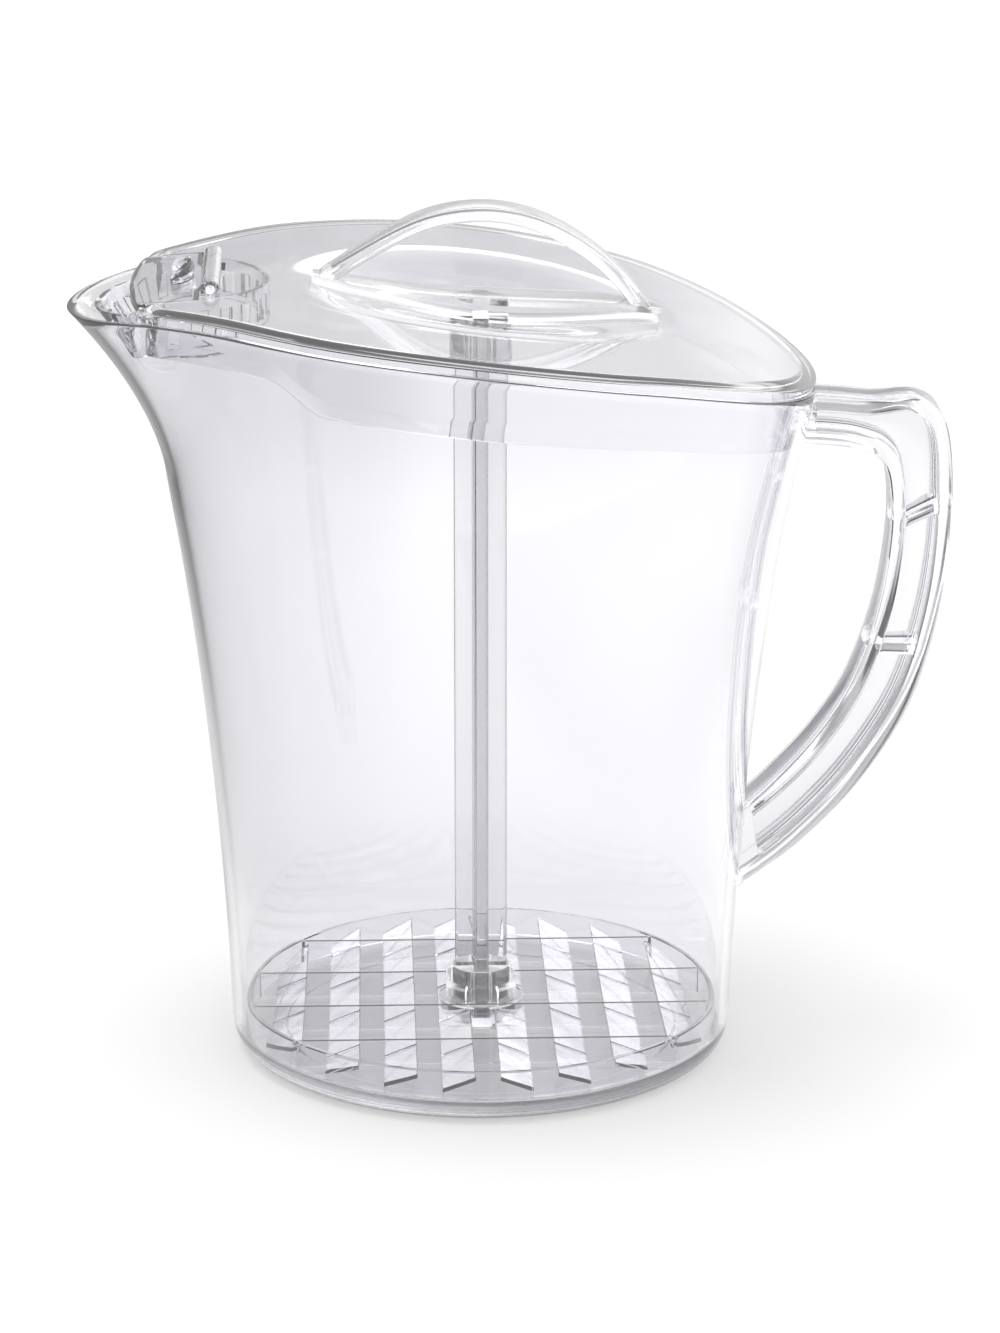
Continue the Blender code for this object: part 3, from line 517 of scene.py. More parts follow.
def jug_rings(azimuths):
    """Rings from the recess under the floor, over the foot ring and the base fillet, up the outside,
    over the rounded lip, down the inside and round the fillet to the floor."""
    foot = [(FOOT_RING_INNER * share, FOOT_RECESS) for share in (*FLOOR_RING_SHARES, 1.0)]
    foot += [(FOOT_RING_INNER + FOOT_RECESS, 0.0), (FOOT_RING_OUTER, 0.0)]
    for cosine, sine in arc(-math.pi / 2, 0, FILLET_STEPS):
        foot.append((BASE_RADIUS - BASE_FILLET + BASE_FILLET * cosine, BASE_FILLET + BASE_FILLET * sine))
    rings = [around(radius, height, azimuths) for radius, height in foot]
    upper = rim_height(plan_radius(azimuths) * np.cos(azimuths)) - LIP_ROUND
    corner = FLOOR + FLOOR_FILLET
    wall = [(BASE_FILLET + (upper - BASE_FILLET) * share, 0) for share in WALL_SHARES]
    for cosine, sine in arc(0, math.pi / 2, LIP_STEPS)[1:]:
        wall.append((upper + LIP_ROUND * sine, LIP_ROUND * (1 - cosine)))
    for cosine, sine in arc(math.pi / 2, 0, LIP_STEPS)[:-1]:
        wall.append((upper + LIP_ROUND * sine, WALL - LIP_ROUND * (1 - cosine)))
    wall += [(corner + (upper - corner) * share, WALL) for share in np.append(WALL_SHARES[::-1], 0.0)]
    rings += [around(outer_radius(azimuths, z) - inwards, z, azimuths) for z, inwards in wall]
    centre = outer_radius(azimuths, corner) - WALL - FLOOR_FILLET
    for cosine, sine in arc(0, -math.pi / 2, CORNER_STEPS)[1:]:
        rings.append(around(centre + FLOOR_FILLET * cosine, corner + FLOOR_FILLET * sine, azimuths))
    for share in FLOOR_RING_SHARES[::-1]:
        rings.append(around(centre * share, FLOOR, azimuths))
    return rings


azimuths = np.arange(TURNS) * 2 * math.pi / TURNS
jug = moulding("jug", *skin(jug_rings(azimuths)), "pitcher", "pitcher_body")
jug_plastic = clear_plastic(
    "jug_plastic",
    tint=(0.984, 0.979, 1.0),
    density=3.5,
    painted_glow_level=0.045,
    edge=(0.82, 0.7),
    surface={"Ripple Scale": 20.0, "Ripple": 0.2, "Haze": 0.012, "Roughness": 0.006, "Marks": 0.2},
)
finish_mesh(jug, jug_plastic)


# Side handle
# A separate clear moulding of I-section with two cross ribs and solid ends, bonded to the wall.
# The body's own outside trims its ends.
HANDLE_SINK = 0.0067
HANDLE_ROOT = BASE_RADIUS - HANDLE_SINK
HANDLE_REACH = 0.068
HANDLE_FOOT = 0.0452
HANDLE_RISE = 0.1496
HANDLE_WIDTH = 0.0175
FLANGE = 0.0045
WEB = 0.003
RIB_INSET = 0.001
HANDLE_ROUND = 0.0012
WEB_ROUND = 0.0014
OUTER_X_SHARES = (0.2, 0.498, 0.686, 0.865, 0.971, 1.0, 0.967, 0.855, 0.651, 0.402, 0.147, 0.0)
OUTER_Z_SHARES = (0.989, 0.982, 0.974, 0.975, 0.922, 0.767, 0.58, 0.392, 0.233, 0.109, 0.018, -0.03)
INNER_X_SHARES = (0.2, 0.483, 0.6, 0.686, 0.735, 0.745, 0.696, 0.584, 0.439, 0.279, 0.126, 0.0)
INNER_Z_SHARES = (0.896, 0.888, 0.88, 0.863, 0.822, 0.716, 0.565, 0.417, 0.312, 0.229, 0.163, 0.114)
TOP_PLATE_STATION = 0.75
FOOT_PLATE_STATION = 9.65
RIB_STATIONS = (4.95, 6.5)
RIB_HALF_STATION = 0.06
RIB_DRAFT_STATION = 0.02
STATION_COUNT = 260
EDGE_CLEARANCE_STATION = 0.015
HANDLE_CORNER_STEPS = 4
TOOL_LOW = 0.01
TOOL_MIDDLE = 0.15
TOOL_OVER = 0.02
TOOL_ROWS = 30
TOOL_FIRST_SHARE = 0.02


def handle_line(stations, x_shares, z_shares):
    """One edge of the handle seen from the side: shares of its reach and of its rise."""
    places = np.arange(len(x_shares))
    x = HANDLE_ROOT + HANDLE_REACH * smooth_curve(stations, places, x_shares)
    z = HANDLE_FOOT + HANDLE_RISE * smooth_curve(stations, places, z_shares)
    return np.stack([x, z], axis=-1)


def handle_rings():
    """I-sections across the handle: at each station the outer and inner outline give the section's
    depth and direction, and the web's width steps up at the ribs and the ends."""
    ribs = np.array(RIB_STATIONS)
    plates = (TOP_PLATE_STATION, FOOT_PLATE_STATION)
    edges = np.concatenate([plates, ribs - RIB_HALF_STATION, ribs + RIB_HALF_STATION])
    even = np.linspace(0, len(OUTER_X_SHARES) - 1, STATION_COUNT)
    clear = np.abs(even[:, None] - edges).min(axis=1) > EDGE_CLEARANCE_STATION
    draft = RIB_DRAFT_STATION / 2
    stations = np.sort(np.concatenate([even[clear], edges - draft, edges + draft]))
    outer = handle_line(stations, OUTER_X_SHARES, OUTER_Z_SHARES)
    inner = handle_line(stations, INNER_X_SHARES, INNER_Z_SHARES)
    solid = (stations < TOP_PLATE_STATION) | (stations > FOOT_PLATE_STATION)
    solid |= np.abs(stations[:, None] - ribs).min(axis=1) < RIB_HALF_STATION
    depth = np.linalg.norm(inner - outer, axis=1)
    along = (inner - outer) / depth[:, None]
    flat = 0 * depth
    half = flat + HANDLE_WIDTH / 2
    web = np.where(solid, half - RIB_INSET, WEB / 2)
    side = [half, half, web, web, half, half]
    into = [flat, flat + FLANGE, flat + FLANGE, depth - FLANGE, depth - FLANGE, depth]
    corners = np.array([side + [-y for y in side[::-1]], into + into[::-1]]).T
    round_edges = [HANDLE_ROUND, HANDLE_ROUND / 2, WEB_ROUND, WEB_ROUND, HANDLE_ROUND / 2, HANDLE_ROUND]
    section = soften(corners, round_edges * 2, HANDLE_CORNER_STEPS)
    x = outer[:, None, 0] + along[:, None, 0] * section[..., 1]
    z = outer[:, None, 1] + along[:, None, 1] * section[..., 1]
    return np.stack([x, section[..., 0], z], axis=-1)


def wall_tool(azimuths):
    """Outside of the jug, grown by the touch gap and carried above the rim."""
    top = rim_height(plan_radius(azimuths) * np.cos(azimuths))
    heights = np.linspace(TOOL_LOW, TOOL_MIDDLE, TOOL_ROWS)
    rings = [around(turned_radius(z) + TOUCH_GAP, z, azimuths) for z in heights]
    for share in np.linspace(TOOL_FIRST_SHARE, 1, TOOL_ROWS):
        z = TOOL_MIDDLE + (top - TOOL_MIDDLE) * share
        rings.append(around(outer_radius(azimuths, z) + TOUCH_GAP, z, azimuths))
    rings.append(around(plan_radius(azimuths) + TOUCH_GAP, top + TOOL_OVER, azimuths))
    return rings


side_handle = moulding("side_handle", *skin(handle_rings()), "pitcher", "body_handle")
carve(side_handle, *skin(wall_tool(azimuths[::2])))
# A strong painted glow lightens the handle where light is trapped inside it, and a painted edge shade darkens
# its rounded edges.
handle_plastic = clear_plastic(
    "handle_plastic",
    tint=(0.95, 0.946, 0.965),
    density=5.0,
    painted_glow_level=0.42,
    edge=(0.7, 0.5),
    surface={"Ripple Scale": 60.0, "Ripple": 0.12, "Haze": 0.02, "Roughness": 0.09, "Marks": 0.3},
)
finish_mesh(side_handle, handle_plastic)
# The web is a shaded copy of the handle's plastic: its greyer tint is painted shade between the flanges, and
# its surface is rougher and hazier.
web_painted_shade_plastic = clear_plastic(
    "web_painted_shade_plastic",
    tint=(0.87, 0.866, 0.89),
    density=5.0,
    painted_glow_level=0.42,
    edge=(0.7, 0.5),
    surface={"Ripple Scale": 60.0, "Ripple": 0.2, "Haze": 0.05, "Roughness": 0.14, "Marks": 0.3},
)
add_material(side_handle, web_painted_shade_plastic, np.abs(face_middles(side_handle)[:, 1]) < WEB / 2 + TOUCH_GAP)


# Lid
# A clear moulding that rests on the rim: a raised edge band, a panel with a dish for the grip, a
# skirt that fits inside the wall, a collar that guides the rod, and a window over the spout.
LID_SEAT = 0.003
LID_WALL = 0.0022
LID_NOSE_FRONT = 0.0975
LID_NOSE_RADIUS = 0.165
LID_NOSE_CENTRE = LID_NOSE_RADIUS - LID_NOSE_FRONT
LID_CORNER = 0.0012
EDGE_ROUND = 0.0003
BORDER = 0.005
PANEL_STEP = 0.0008
PANEL_RISE = 0.0008
DISH_RADIUS = 0.056
DISH_DEPTH = 0.0075
RUNNING_GAP = 0.0005
SKIRT_WALL = 0.0016
SKIRT_EDGE = 0.0005
SKIRT_TAPER = 0.0045
SKIRT_DEPTH = 0.0175
SKIRT_BACK_DEPTH = 0.014
NOSE_SKIRT_DEPTH = 0.0095
NOSE_SKIRT_ANGLES = (math.radians(50), math.radians(62))
COLLAR_RADIUS = 0.0088
COLLAR_DROP = 0.012
ROD_SPAN = 0.015
ROD_FIN = 0.0038
ROD_CLEARANCE = 0.00035
CAP_HALF_WIDTH = 0.031
HINGE_SETBACK = 0.0228
BARREL_RADIUS = 0.0026
BARREL_HALF = 0.0158
BARREL_CLEARANCE = 0.0009
HINGE_LIFT = 0.001
LUG_WIDTH = 0.0072
PIN_RADIUS = 0.00125
PIN_CLEARANCE = 0.00015
CAP_REAR_CLEARANCE = 0.0035
OVERRUN = 0.004
DISH_ROWS = 36
PANEL_ROWS = 25
BAND_ROWS = 13
SKIRT_ROWS = 16
EDGE_STEPS = 6
HINGE_SIDES = 48
LUG_STEPS = 25
PLUS_CORNER_STEPS = 5
HINGE_X = -LID_NOSE_FRONT + HINGE_SETBACK


def lid_edge(azimuth):
    """Lid seen from above: the rim's outline and a shallow arc over the spout, blended at their
    corner by a soft minimum."""
    angle = from_spout(azimuth)
    across = LID_NOSE_CENTRE * np.sin(angle)
    nose = np.sqrt(LID_NOSE_RADIUS**2 - across**2) - LID_NOSE_CENTRE * np.cos(angle)
    plan = plan_radius(azimuth)
    gap = np.abs(plan - nose)
    return np.minimum(plan, nose) - np.maximum(LID_CORNER - gap, 0) ** 2 / (4 * LID_CORNER)


def panel_height(x):
    """Top of the panel, which follows the rim."""
    return rim_height(x) + LID_SEAT + PANEL_RISE


def lid_height(x, y):
    """Top of the lid: the panel, less a dish that falls with the square of one less the squared
    distance from the middle."""
    reach = np.clip(np.hypot(x, y) / DISH_RADIUS, 0, 1)
    return panel_height(x) - DISH_DEPTH * (1 - reach**2) ** 2


def under_top(azimuths, radius, drop):
    """Ring at a depth below the lid's top."""
    x = radius * np.cos(azimuths)
    y = radius * np.sin(azimuths)
    return np.stack([x, y, lid_height(x, y) - drop], axis=-1)


def skirt_depths(azimuths):
    """Depth of the skirt: short round the spout, full along the sides, a little less at the handle."""
    start, end = NOSE_SKIRT_ANGLES
    share = ease(np.clip((from_spout(azimuths) - start) / (end - start), 0, 1))
    full = SKIRT_DEPTH + (SKIRT_BACK_DEPTH - SKIRT_DEPTH) * np.maximum(np.cos(azimuths), 0)
    return NOSE_SKIRT_DEPTH + (full - NOSE_SKIRT_DEPTH) * share


PLATE_Z = float(panel_height(HINGE_X))
HINGE_Z = PLATE_Z + HINGE_LIFT
DISH_FLOOR = float(lid_height(0.0, 0.0))
COLLAR_BOTTOM = DISH_FLOOR - LID_WALL - COLLAR_DROP


def lid_rings(azimuths):
    """Rings from the dish's middle over the panel's step and the edge band, down the skirt, back
    under the panel and the dish, and down the collar."""
    edge = lid_edge(azimuths)
    panel = edge - BORDER - PANEL_STEP
    top = rim_height(edge * np.cos(azimuths))
    rings = [under_top(azimuths, radius, 0) for radius in np.linspace(COLLAR_RADIUS, DISH_RADIUS, DISH_ROWS)]
    for share in np.linspace(0, 1, PANEL_ROWS)[1:]:
        rings.append(under_top(azimuths, DISH_RADIUS + (panel - DISH_RADIUS) * share, 0))
    for share in np.linspace(0, 1, BAND_ROWS)[1:]:
        radius = panel + (BORDER + PANEL_STEP - EDGE_ROUND) * share
        rings.append(under_top(azimuths, radius, PANEL_RISE * ease(share)))
    for cosine, sine in arc(math.pi / 2, 0, EDGE_STEPS):
        drop = PANEL_RISE + EDGE_ROUND * (1 - sine)
        rings.append(under_top(azimuths, edge - EDGE_ROUND + EDGE_ROUND * cosine, drop))
    rings.append(around(edge, top + TOUCH_GAP + EDGE_ROUND / 2, azimuths))
    rings.append(around(edge - EDGE_ROUND / 2, top + TOUCH_GAP, azimuths))
    inset = edge - WALL - RUNNING_GAP
    depths = skirt_depths(azimuths)
    skirt = [(depths * share, 0) for share in np.linspace(0, 1, SKIRT_ROWS)]
    skirt.append((depths, SKIRT_EDGE))
    for share in np.linspace(1, 0, SKIRT_ROWS):
        skirt.append(((depths - SKIRT_TAPER) * share, SKIRT_WALL))
    for drop, inwards in skirt:
        z = top + TOUCH_GAP - drop
        outside = np.minimum(outer_radius(azimuths, z) - WALL - RUNNING_GAP, inset)
        rings.append(around(outside - inwards, z, azimuths))
    inner_top = inset - SKIRT_WALL
    rings.append(under_top(azimuths, inner_top, LID_WALL))
    for share in np.linspace(1, 0, PANEL_ROWS)[1:-1]:
        rings.append(under_top(azimuths, DISH_RADIUS + (inner_top - DISH_RADIUS) * share, LID_WALL))
    for radius in np.linspace(DISH_RADIUS, COLLAR_RADIUS, DISH_ROWS):
        rings.append(under_top(azimuths, radius, LID_WALL))
    rings.append(around(COLLAR_RADIUS, COLLAR_BOTTOM + 2 * EDGE_ROUND, azimuths))
    rings.append(around(COLLAR_RADIUS - EDGE_ROUND, COLLAR_BOTTOM, azimuths))
    return rings


def plus_prism(span, fin, tip, low, high):
    """Upright prism with a plus-shaped outline: four fins of one width, their tips rounded."""
    a = fin / 2
    b = span / 2
    quarter = np.array([(b, -a), (b, a), (a, a)])
    corners = []
    for t in np.arange(4) * math.pi / 2:
        corners.append(quarter @ np.array([[math.cos(t), math.sin(t)], [-math.sin(t), math.cos(t)]]))
    outline = soften(np.concatenate(corners), [tip, tip, TOUCH_GAP] * 4, PLUS_CORNER_STEPS)
    rows = [np.column_stack([outline, np.full(len(outline), z)]) for z in (low, high)]
    return skin(rows)


def rod_hole(gap, low, high):
    """Upright plus-shaped hole with a gap all round the rod."""
    return plus_prism(ROD_SPAN + 2 * gap, ROD_FIN + 2 * gap, TOUCH_GAP, low, high)


def across_prism(outline, start, end):
    """Prism along Y over an outline of X and Z."""
    flat = np.array(outline)
    return skin([np.column_stack([flat[:, 0], np.full(len(flat), y), flat[:, 1]]) for y in (start, end)])


def box_shape(low, high):
    """Box between two corners."""
    outline = [(low[0], low[2]), (high[0], low[2]), (high[0], high[2]), (low[0], high[2])]
    return across_prism(outline, low[1], high[1])


def hinge_round(radius, half_length):
    """Cylinder along the spout cap's hinge axis."""
    circle = arc(0, 2 * math.pi, HINGE_SIDES + 1)[:-1]
    outline = [(HINGE_X + radius * c, HINGE_Z + radius * s) for c, s in circle]
    return across_prism(outline, -half_length, half_length)


lid = moulding("lid_shell", *skin(lid_rings(azimuths)), "lid_set", "lid")
LUG_START = BARREL_HALF + RUNNING_GAP
PIN_HALF = LUG_START + LUG_WIDTH
LUG_FOOT = PLATE_Z - LID_WALL + 2 * TOUCH_GAP
lug = [(HINGE_X + BARREL_RADIUS * c, HINGE_Z + BARREL_RADIUS * s) for c, s in arc(math.pi, 0, LUG_STEPS)]
lug = [(HINGE_X - BARREL_RADIUS, LUG_FOOT)] + lug + [(HINGE_X + BARREL_RADIUS, LUG_FOOT)]
for side in (-1, 1):
    carve(lid, *across_prism(lug, *sorted((side * (LUG_START - OVERRUN), side * PIN_HALF))), "UNION")
carve(lid, *hinge_round(PIN_RADIUS + PIN_CLEARANCE, PIN_HALF + OVERRUN))
WINDOW_LOW = PLATE_Z - LID_WALL - SKIRT_DEPTH - OVERRUN
WINDOW_HALF = CAP_HALF_WIDTH + RUNNING_GAP
WINDOW_REAR = HINGE_X - CAP_REAR_CLEARANCE + RUNNING_GAP
SLOT_REAR = HINGE_X + BARREL_RADIUS + BARREL_CLEARANCE
SLOT_TOP = PLATE_Z + BARREL_RADIUS + OVERRUN
FRONT = -LID_NOSE_FRONT - OVERRUN
SLOT_LOW = PLATE_Z - 2 * LID_WALL
carve(lid, *box_shape((FRONT, -WINDOW_HALF, WINDOW_LOW), (WINDOW_REAR, WINDOW_HALF, SLOT_TOP)))
carve(lid, *box_shape((WINDOW_REAR - OVERRUN, -LUG_START, SLOT_LOW), (SLOT_REAR, LUG_START, SLOT_TOP)))
carve(lid, *rod_hole(ROD_CLEARANCE, COLLAR_BOTTOM - OVERRUN, DISH_FLOOR + OVERRUN))
lid_plastic = clear_plastic(
    "lid_plastic",
    tint=(0.949, 0.944, 0.967),
    density=8.0,
    painted_glow_level=0.045,
    edge=(0.82, 0.5),
    surface={"Ripple Scale": 30.0, "Ripple": 0.15, "Haze": 0.015, "Roughness": 0.01, "Marks": 0.4},
)
finish_mesh(lid, lid_plastic)


# Strainer
# A slotted oval fence, clipped under the lid's window, that keeps ice out of the glass. It leans
# forward with the spout.
FENCE_FRONT_GAP = 0.0085
FENCE_HALF_LENGTH = 0.0237
FENCE_HALF_WIDTH = 0.0285
FENCE_WALL = 0.0016
FENCE_FRONT_DEPTH = 0.0135
FENCE_BACK_DEPTH = 0.0095
FENCE_LEAN_SHARE = 0.565
FENCE_NARROW_SHARE = 0.9
FENCE_LIP_DROP = 0.0006
FENCE_ROUND_SHARE = 0.03
SLOT_COUNT = 22
SLOT_FILL_SHARE = 0.5
SLOT_LOW_SHARE = 0.16
SLOT_HIGH_SHARE = 0.72
SLOT_STEPS = 4
FENCE_COLUMNS = 264
FENCE_CENTRE = -(RIM_RADIUS + SPOUT_REACH) + FENCE_FRONT_GAP + FENCE_HALF_LENGTH


def fence_points(turn, share, out):
    """Points of the fence: an oval in plan whose front leans in and narrows towards the bottom,
    between a bottom line and the lid's underside."""
    cosine = np.cos(turn)
    sine = np.sin(turn)
    forward = np.maximum(0, -cosine)
    lean = 1 - (1 - FENCE_LEAN_SHARE) * forward * (1 - share)
    narrow = 1 - (1 - FENCE_NARROW_SHARE) * forward * (1 - share)
    x_top = FENCE_CENTRE + FENCE_HALF_LENGTH * cosine
    under_lid = panel_height(x_top) - LID_WALL - TOUCH_GAP
    in_mouth = rim_height(x_top) - FENCE_LIP_DROP
    past_lid = np.clip((-LID_NOSE_FRONT + WALL - x_top) / WALL, 0, 1)
    top = under_lid + (in_mouth - under_lid) * past_lid
    bottom = in_mouth - FENCE_BACK_DEPTH - (FENCE_FRONT_DEPTH - FENCE_BACK_DEPTH) * forward
    x = FENCE_CENTRE + (FENCE_HALF_LENGTH * lean + out) * cosine
    y = (FENCE_HALF_WIDTH * narrow + out) * sine
    return np.stack([x, y, bottom + (top - bottom) * share], axis=-1)


def fence_rings(count):
    """Closed tube round the oval: each section is a thin upright rectangle with rounded ends."""
    turns = np.arange(count) * 2 * math.pi / count
    half = FENCE_WALL / 2
    shares = (1.0, 1 - FENCE_ROUND_SHARE, 0.5, FENCE_ROUND_SHARE, 0.0)
    section = list(zip(shares, (half / 2, half, half, half, half / 2)))
    section += [(share, -out) for share, out in section[::-1]]
    return [fence_points(turns, share, out) for share, out in section]


def slot_shapes():
    """All the slots as one mesh of separate blocks, each between two angles and two heights."""
    pitch = 2 * math.pi / SLOT_COUNT
    points = []
    faces = []
    for slot in range(SLOT_COUNT):
        middle = (slot + 0.5) * pitch
        half = SLOT_FILL_SHARE * pitch / 2
        turns = np.linspace(middle - half, middle + half, SLOT_STEPS)
        rows = []
        for out in (-FENCE_WALL, FENCE_WALL):
            low = fence_points(turns, SLOT_LOW_SHARE, out)
            high = fence_points(turns[::-1], SLOT_HIGH_SHARE, out)
            rows.append(np.concatenate([low, high]))
        block, block_faces = skin(rows)
        shift = sum(len(p) for p in points)
        points.append(block)
        faces += [[corner + shift for corner in face] for face in block_faces]
    return np.concatenate(points), faces


strainer = moulding("strainer", *skin(fence_rings(FENCE_COLUMNS), closed=True), "lid_set", "spout_strainer")
carve(strainer, *slot_shapes())
finish_mesh(strainer, lid_plastic)


# Spout cap and its pin
# A flap at the lid's nose, flush with the panel, that flips up on a pin through the lid's lugs. A
# curved thumb tab stands near its hinge.
TAB_HALF_WIDTH = 0.0096
TAB_HEIGHT = 0.0052
TAB_WALL = 0.0026
TAB_TIP_WALL = 0.0016
TAB_CURVE = 0.0038
TAB_SETBACK = 0.0061
TAB_ROUND_SHARE = 0.5
TAB_COLUMNS = 41
TAB_ROWS = (
    (0.0, TAB_WALL), (0.3, TAB_WALL), (0.6, TAB_WALL),
    (0.85, 0.95 * TAB_TIP_WALL), (0.96, 0.8 * TAB_TIP_WALL), (1.0, 0.4 * TAB_TIP_WALL),
)
CAP_COLUMNS = 14
CAP_ROWS = 16
CAP_EASE_SHARE = 0.02
CAP_ROW_SHARES = (0.08, 0.95)


def two_faced(top, bottom):
    """Closed shape between two grids: each row goes along the top and back along the bottom."""
    return skin(np.concatenate([top, bottom[:, ::-1]], axis=1))


def cap_plate():
    """Plate flush with the panel: its rear steps back beside the barrel, its front follows the
    lid's nose arc, and its edges are eased."""
    step = 2 * RUNNING_GAP
    inner = BARREL_HALF - RUNNING_GAP
    beside = np.linspace(inner + step, CAP_HALF_WIDTH, CAP_COLUMNS)
    half = np.concatenate([np.linspace(0, inner, CAP_COLUMNS), beside])
    across = np.concatenate([-half[:0:-1], half])
    rear = np.where(np.abs(across) <= inner + RUNNING_GAP / 2, HINGE_X, HINGE_X - CAP_REAR_CLEARANCE)
    front = LID_NOSE_CENTRE - np.sqrt(LID_NOSE_RADIUS**2 - across**2)
    shares = [0.0, CAP_EASE_SHARE, *np.linspace(*CAP_ROW_SHARES, CAP_ROWS), 1 - CAP_EASE_SHARE, 1.0]
    x = rear + (front - rear) * np.array(shares)[:, None]
    y = np.broadcast_to(across, x.shape)
    eased = np.zeros((len(shares), 1))
    eased[[0, -1]] = EDGE_ROUND / 2
    top = np.stack([x, y, panel_height(x) - eased], axis=-1)
    bottom = np.stack([x, y, panel_height(x) - LID_WALL + eased], axis=-1)
    return two_faced(top, bottom)


def thumb_tab():
    """Upright tab bent like a thumbnail: its middle line is a parabola in plan, and its height
    falls towards both ends."""
    share = np.linspace(-1, 1, TAB_COLUMNS)
    base = PLATE_Z - 2 * TOUCH_GAP
    height = TAB_HEIGHT * (1 - TAB_ROUND_SHARE * share**2) + 2 * TOUCH_GAP
    middle = HINGE_X - TAB_SETBACK - TAB_CURVE * share**2
    y = TAB_HALF_WIDTH * share
    grids = []
    for side in (-1, 1):
        rows = []
        for rise, wall in TAB_ROWS:
            rows.append(np.stack([middle + side * wall / 2, y, base + height * rise], axis=-1))
        grids.append(np.stack(rows, axis=1))
    return two_faced(grids[0], grids[1])


cap = moulding("cap_flap", *cap_plate(), "cap", "spout_cap")
carve(cap, *hinge_round(BARREL_RADIUS, BARREL_HALF), "UNION")
carve(cap, *thumb_tab(), "UNION")
carve(cap, *hinge_round(PIN_RADIUS + PIN_CLEARANCE, BARREL_HALF + OVERRUN))
finish_mesh(cap, lid_plastic)
pin = moulding("cap_pin", *hinge_round(PIN_RADIUS, PIN_HALF), "lid_set", "cap_hinge_pin")
finish_mesh(pin, handle_plastic)


# Plunger grip
# A clear D-shaped loop: a lower bar that fills the lid's dish and an arched strip over it, with the
# rod's end in a socket under the bar.
GRIP_LEFT = 0.047
GRIP_RIGHT = 0.0502
BAR_THICKNESS = 0.0067
BAR_HALF_WIDTH = 0.0115
BAR_TIP_SHARE = 0.42
BAR_PLACE_SHARES = (0.0, 0.12, 0.3, 0.49, 0.8, 1.0)
BAR_THICKNESS_SHARES = (0.3, 0.36, 0.72, 1.0, 0.86, 0.5)
ARCH_RISE = 0.0235
ARCH_THICKNESS = 0.0042
ARCH_WIDTH = 0.015
ARCH_FOOT_WIDTH = 0.0105
ARCH_PLACE_SHARES = (0.0, 0.07, 0.15, 0.31, 0.47, 0.56, 0.77, 0.9, 0.96, 1.0)
ARCH_RISE_SHARES = (0.0, 0.2, 0.42, 0.8, 0.98, 1.0, 0.78, 0.44, 0.2, 0.0)
BAR_ROWS = 90
BAR_COLUMNS = 17
TIP_POWER = 3
CROWN_SHARE = 0.3
CROWN_DROP = 0.0012
CROWN_POWER = 6
ARCH_ROWS = 141
ARCH_EASE_REACH = 4
ARCH_EDGE_ROUND = 0.0017
ARCH_CORNER_STEPS = 8
SOCKET_DEPTH = 0.001
ROD_TOP = DISH_FLOOR + SOCKET_DEPTH


def bar_rings():
    """Sections across the lower bar: the underside follows the dish, the top is crowned, and the
    width falls to the tips along a rounded curve."""
    share = np.linspace(0, 1, BAR_ROWS)
    x = -GRIP_LEFT + (GRIP_LEFT + GRIP_RIGHT) * share
    round_end = np.sqrt(np.maximum(0, 1 - np.abs(2 * share - 1) ** TIP_POWER))
    half = BAR_HALF_WIDTH * (BAR_TIP_SHARE + (1 - BAR_TIP_SHARE) * round_end)
    thick = BAR_THICKNESS * smooth_curve(share, BAR_PLACE_SHARES, BAR_THICKNESS_SHARES)
    over = lid_height(x, 0 * x) + TOUCH_GAP + thick
    across = np.linspace(-1, 1, BAR_COLUMNS)
    y = half[:, None] * across
    x_grid = np.broadcast_to(x[:, None], y.shape)
    under = lid_height(x_grid, y) + TOUCH_GAP
    crown = np.minimum(CROWN_SHARE * (over[:, None] - under), CROWN_DROP) * np.abs(across) ** CROWN_POWER
    top = np.stack([x_grid, y, over[:, None] - crown], axis=-1)
    bottom = np.stack([x_grid, y, under], axis=-1)
    return np.concatenate([top, bottom[:, ::-1]], axis=1)


def arch_rings():
    """Sections along the arch: its middle line rises over the chord between its feet by a share
    curve, and each section is a rounded strip square to that line."""
    length = GRIP_LEFT + GRIP_RIGHT - 2 * ARCH_THICKNESS
    start = -GRIP_LEFT + ARCH_THICKNESS
    low = float(lid_height(start, 0.0)) + ARCH_THICKNESS / 2
    high = float(lid_height(start + length, 0.0)) + ARCH_THICKNESS / 2
    shares = (1 - np.cos(np.linspace(0, math.pi, ARCH_ROWS))) / 2
    x = start + length * shares
    z = low + (high - low) * shares + ARCH_RISE * smooth_curve(shares, ARCH_PLACE_SHARES, ARCH_RISE_SHARES)
    window = 2 * ARCH_EASE_REACH + 1
    padded = np.pad(z, ARCH_EASE_REACH, mode="reflect", reflect_type="odd")
    z = np.convolve(padded, np.ones(window) / window, mode="valid")
    slope = np.stack([np.gradient(x), np.gradient(z)], axis=-1)
    slope /= np.linalg.norm(slope, axis=1, keepdims=True)
    half = (ARCH_FOOT_WIDTH + (ARCH_WIDTH - ARCH_FOOT_WIDTH) * np.sin(math.pi * shares)) / 2
    level = 0 * half + ARCH_THICKNESS / 2
    corners = np.array([[half, half, -half, -half], [-level, level, level, -level]]).T
    section = soften(corners, [ARCH_EDGE_ROUND] * 4, ARCH_CORNER_STEPS)
    points_x = x[:, None] - slope[:, None, 1] * section[..., 1]
    points_z = z[:, None] + slope[:, None, 0] * section[..., 1]
    return np.stack([points_x, section[..., 0], points_z], axis=-1)


grip = moulding("grip", *skin(bar_rings()), "plunger", "plunger_grip")
carve(grip, *skin(arch_rings()), "UNION")
carve(grip, *rod_hole(TOUCH_GAP, DISH_FLOOR - OVERRUN, ROD_TOP + TOUCH_GAP))
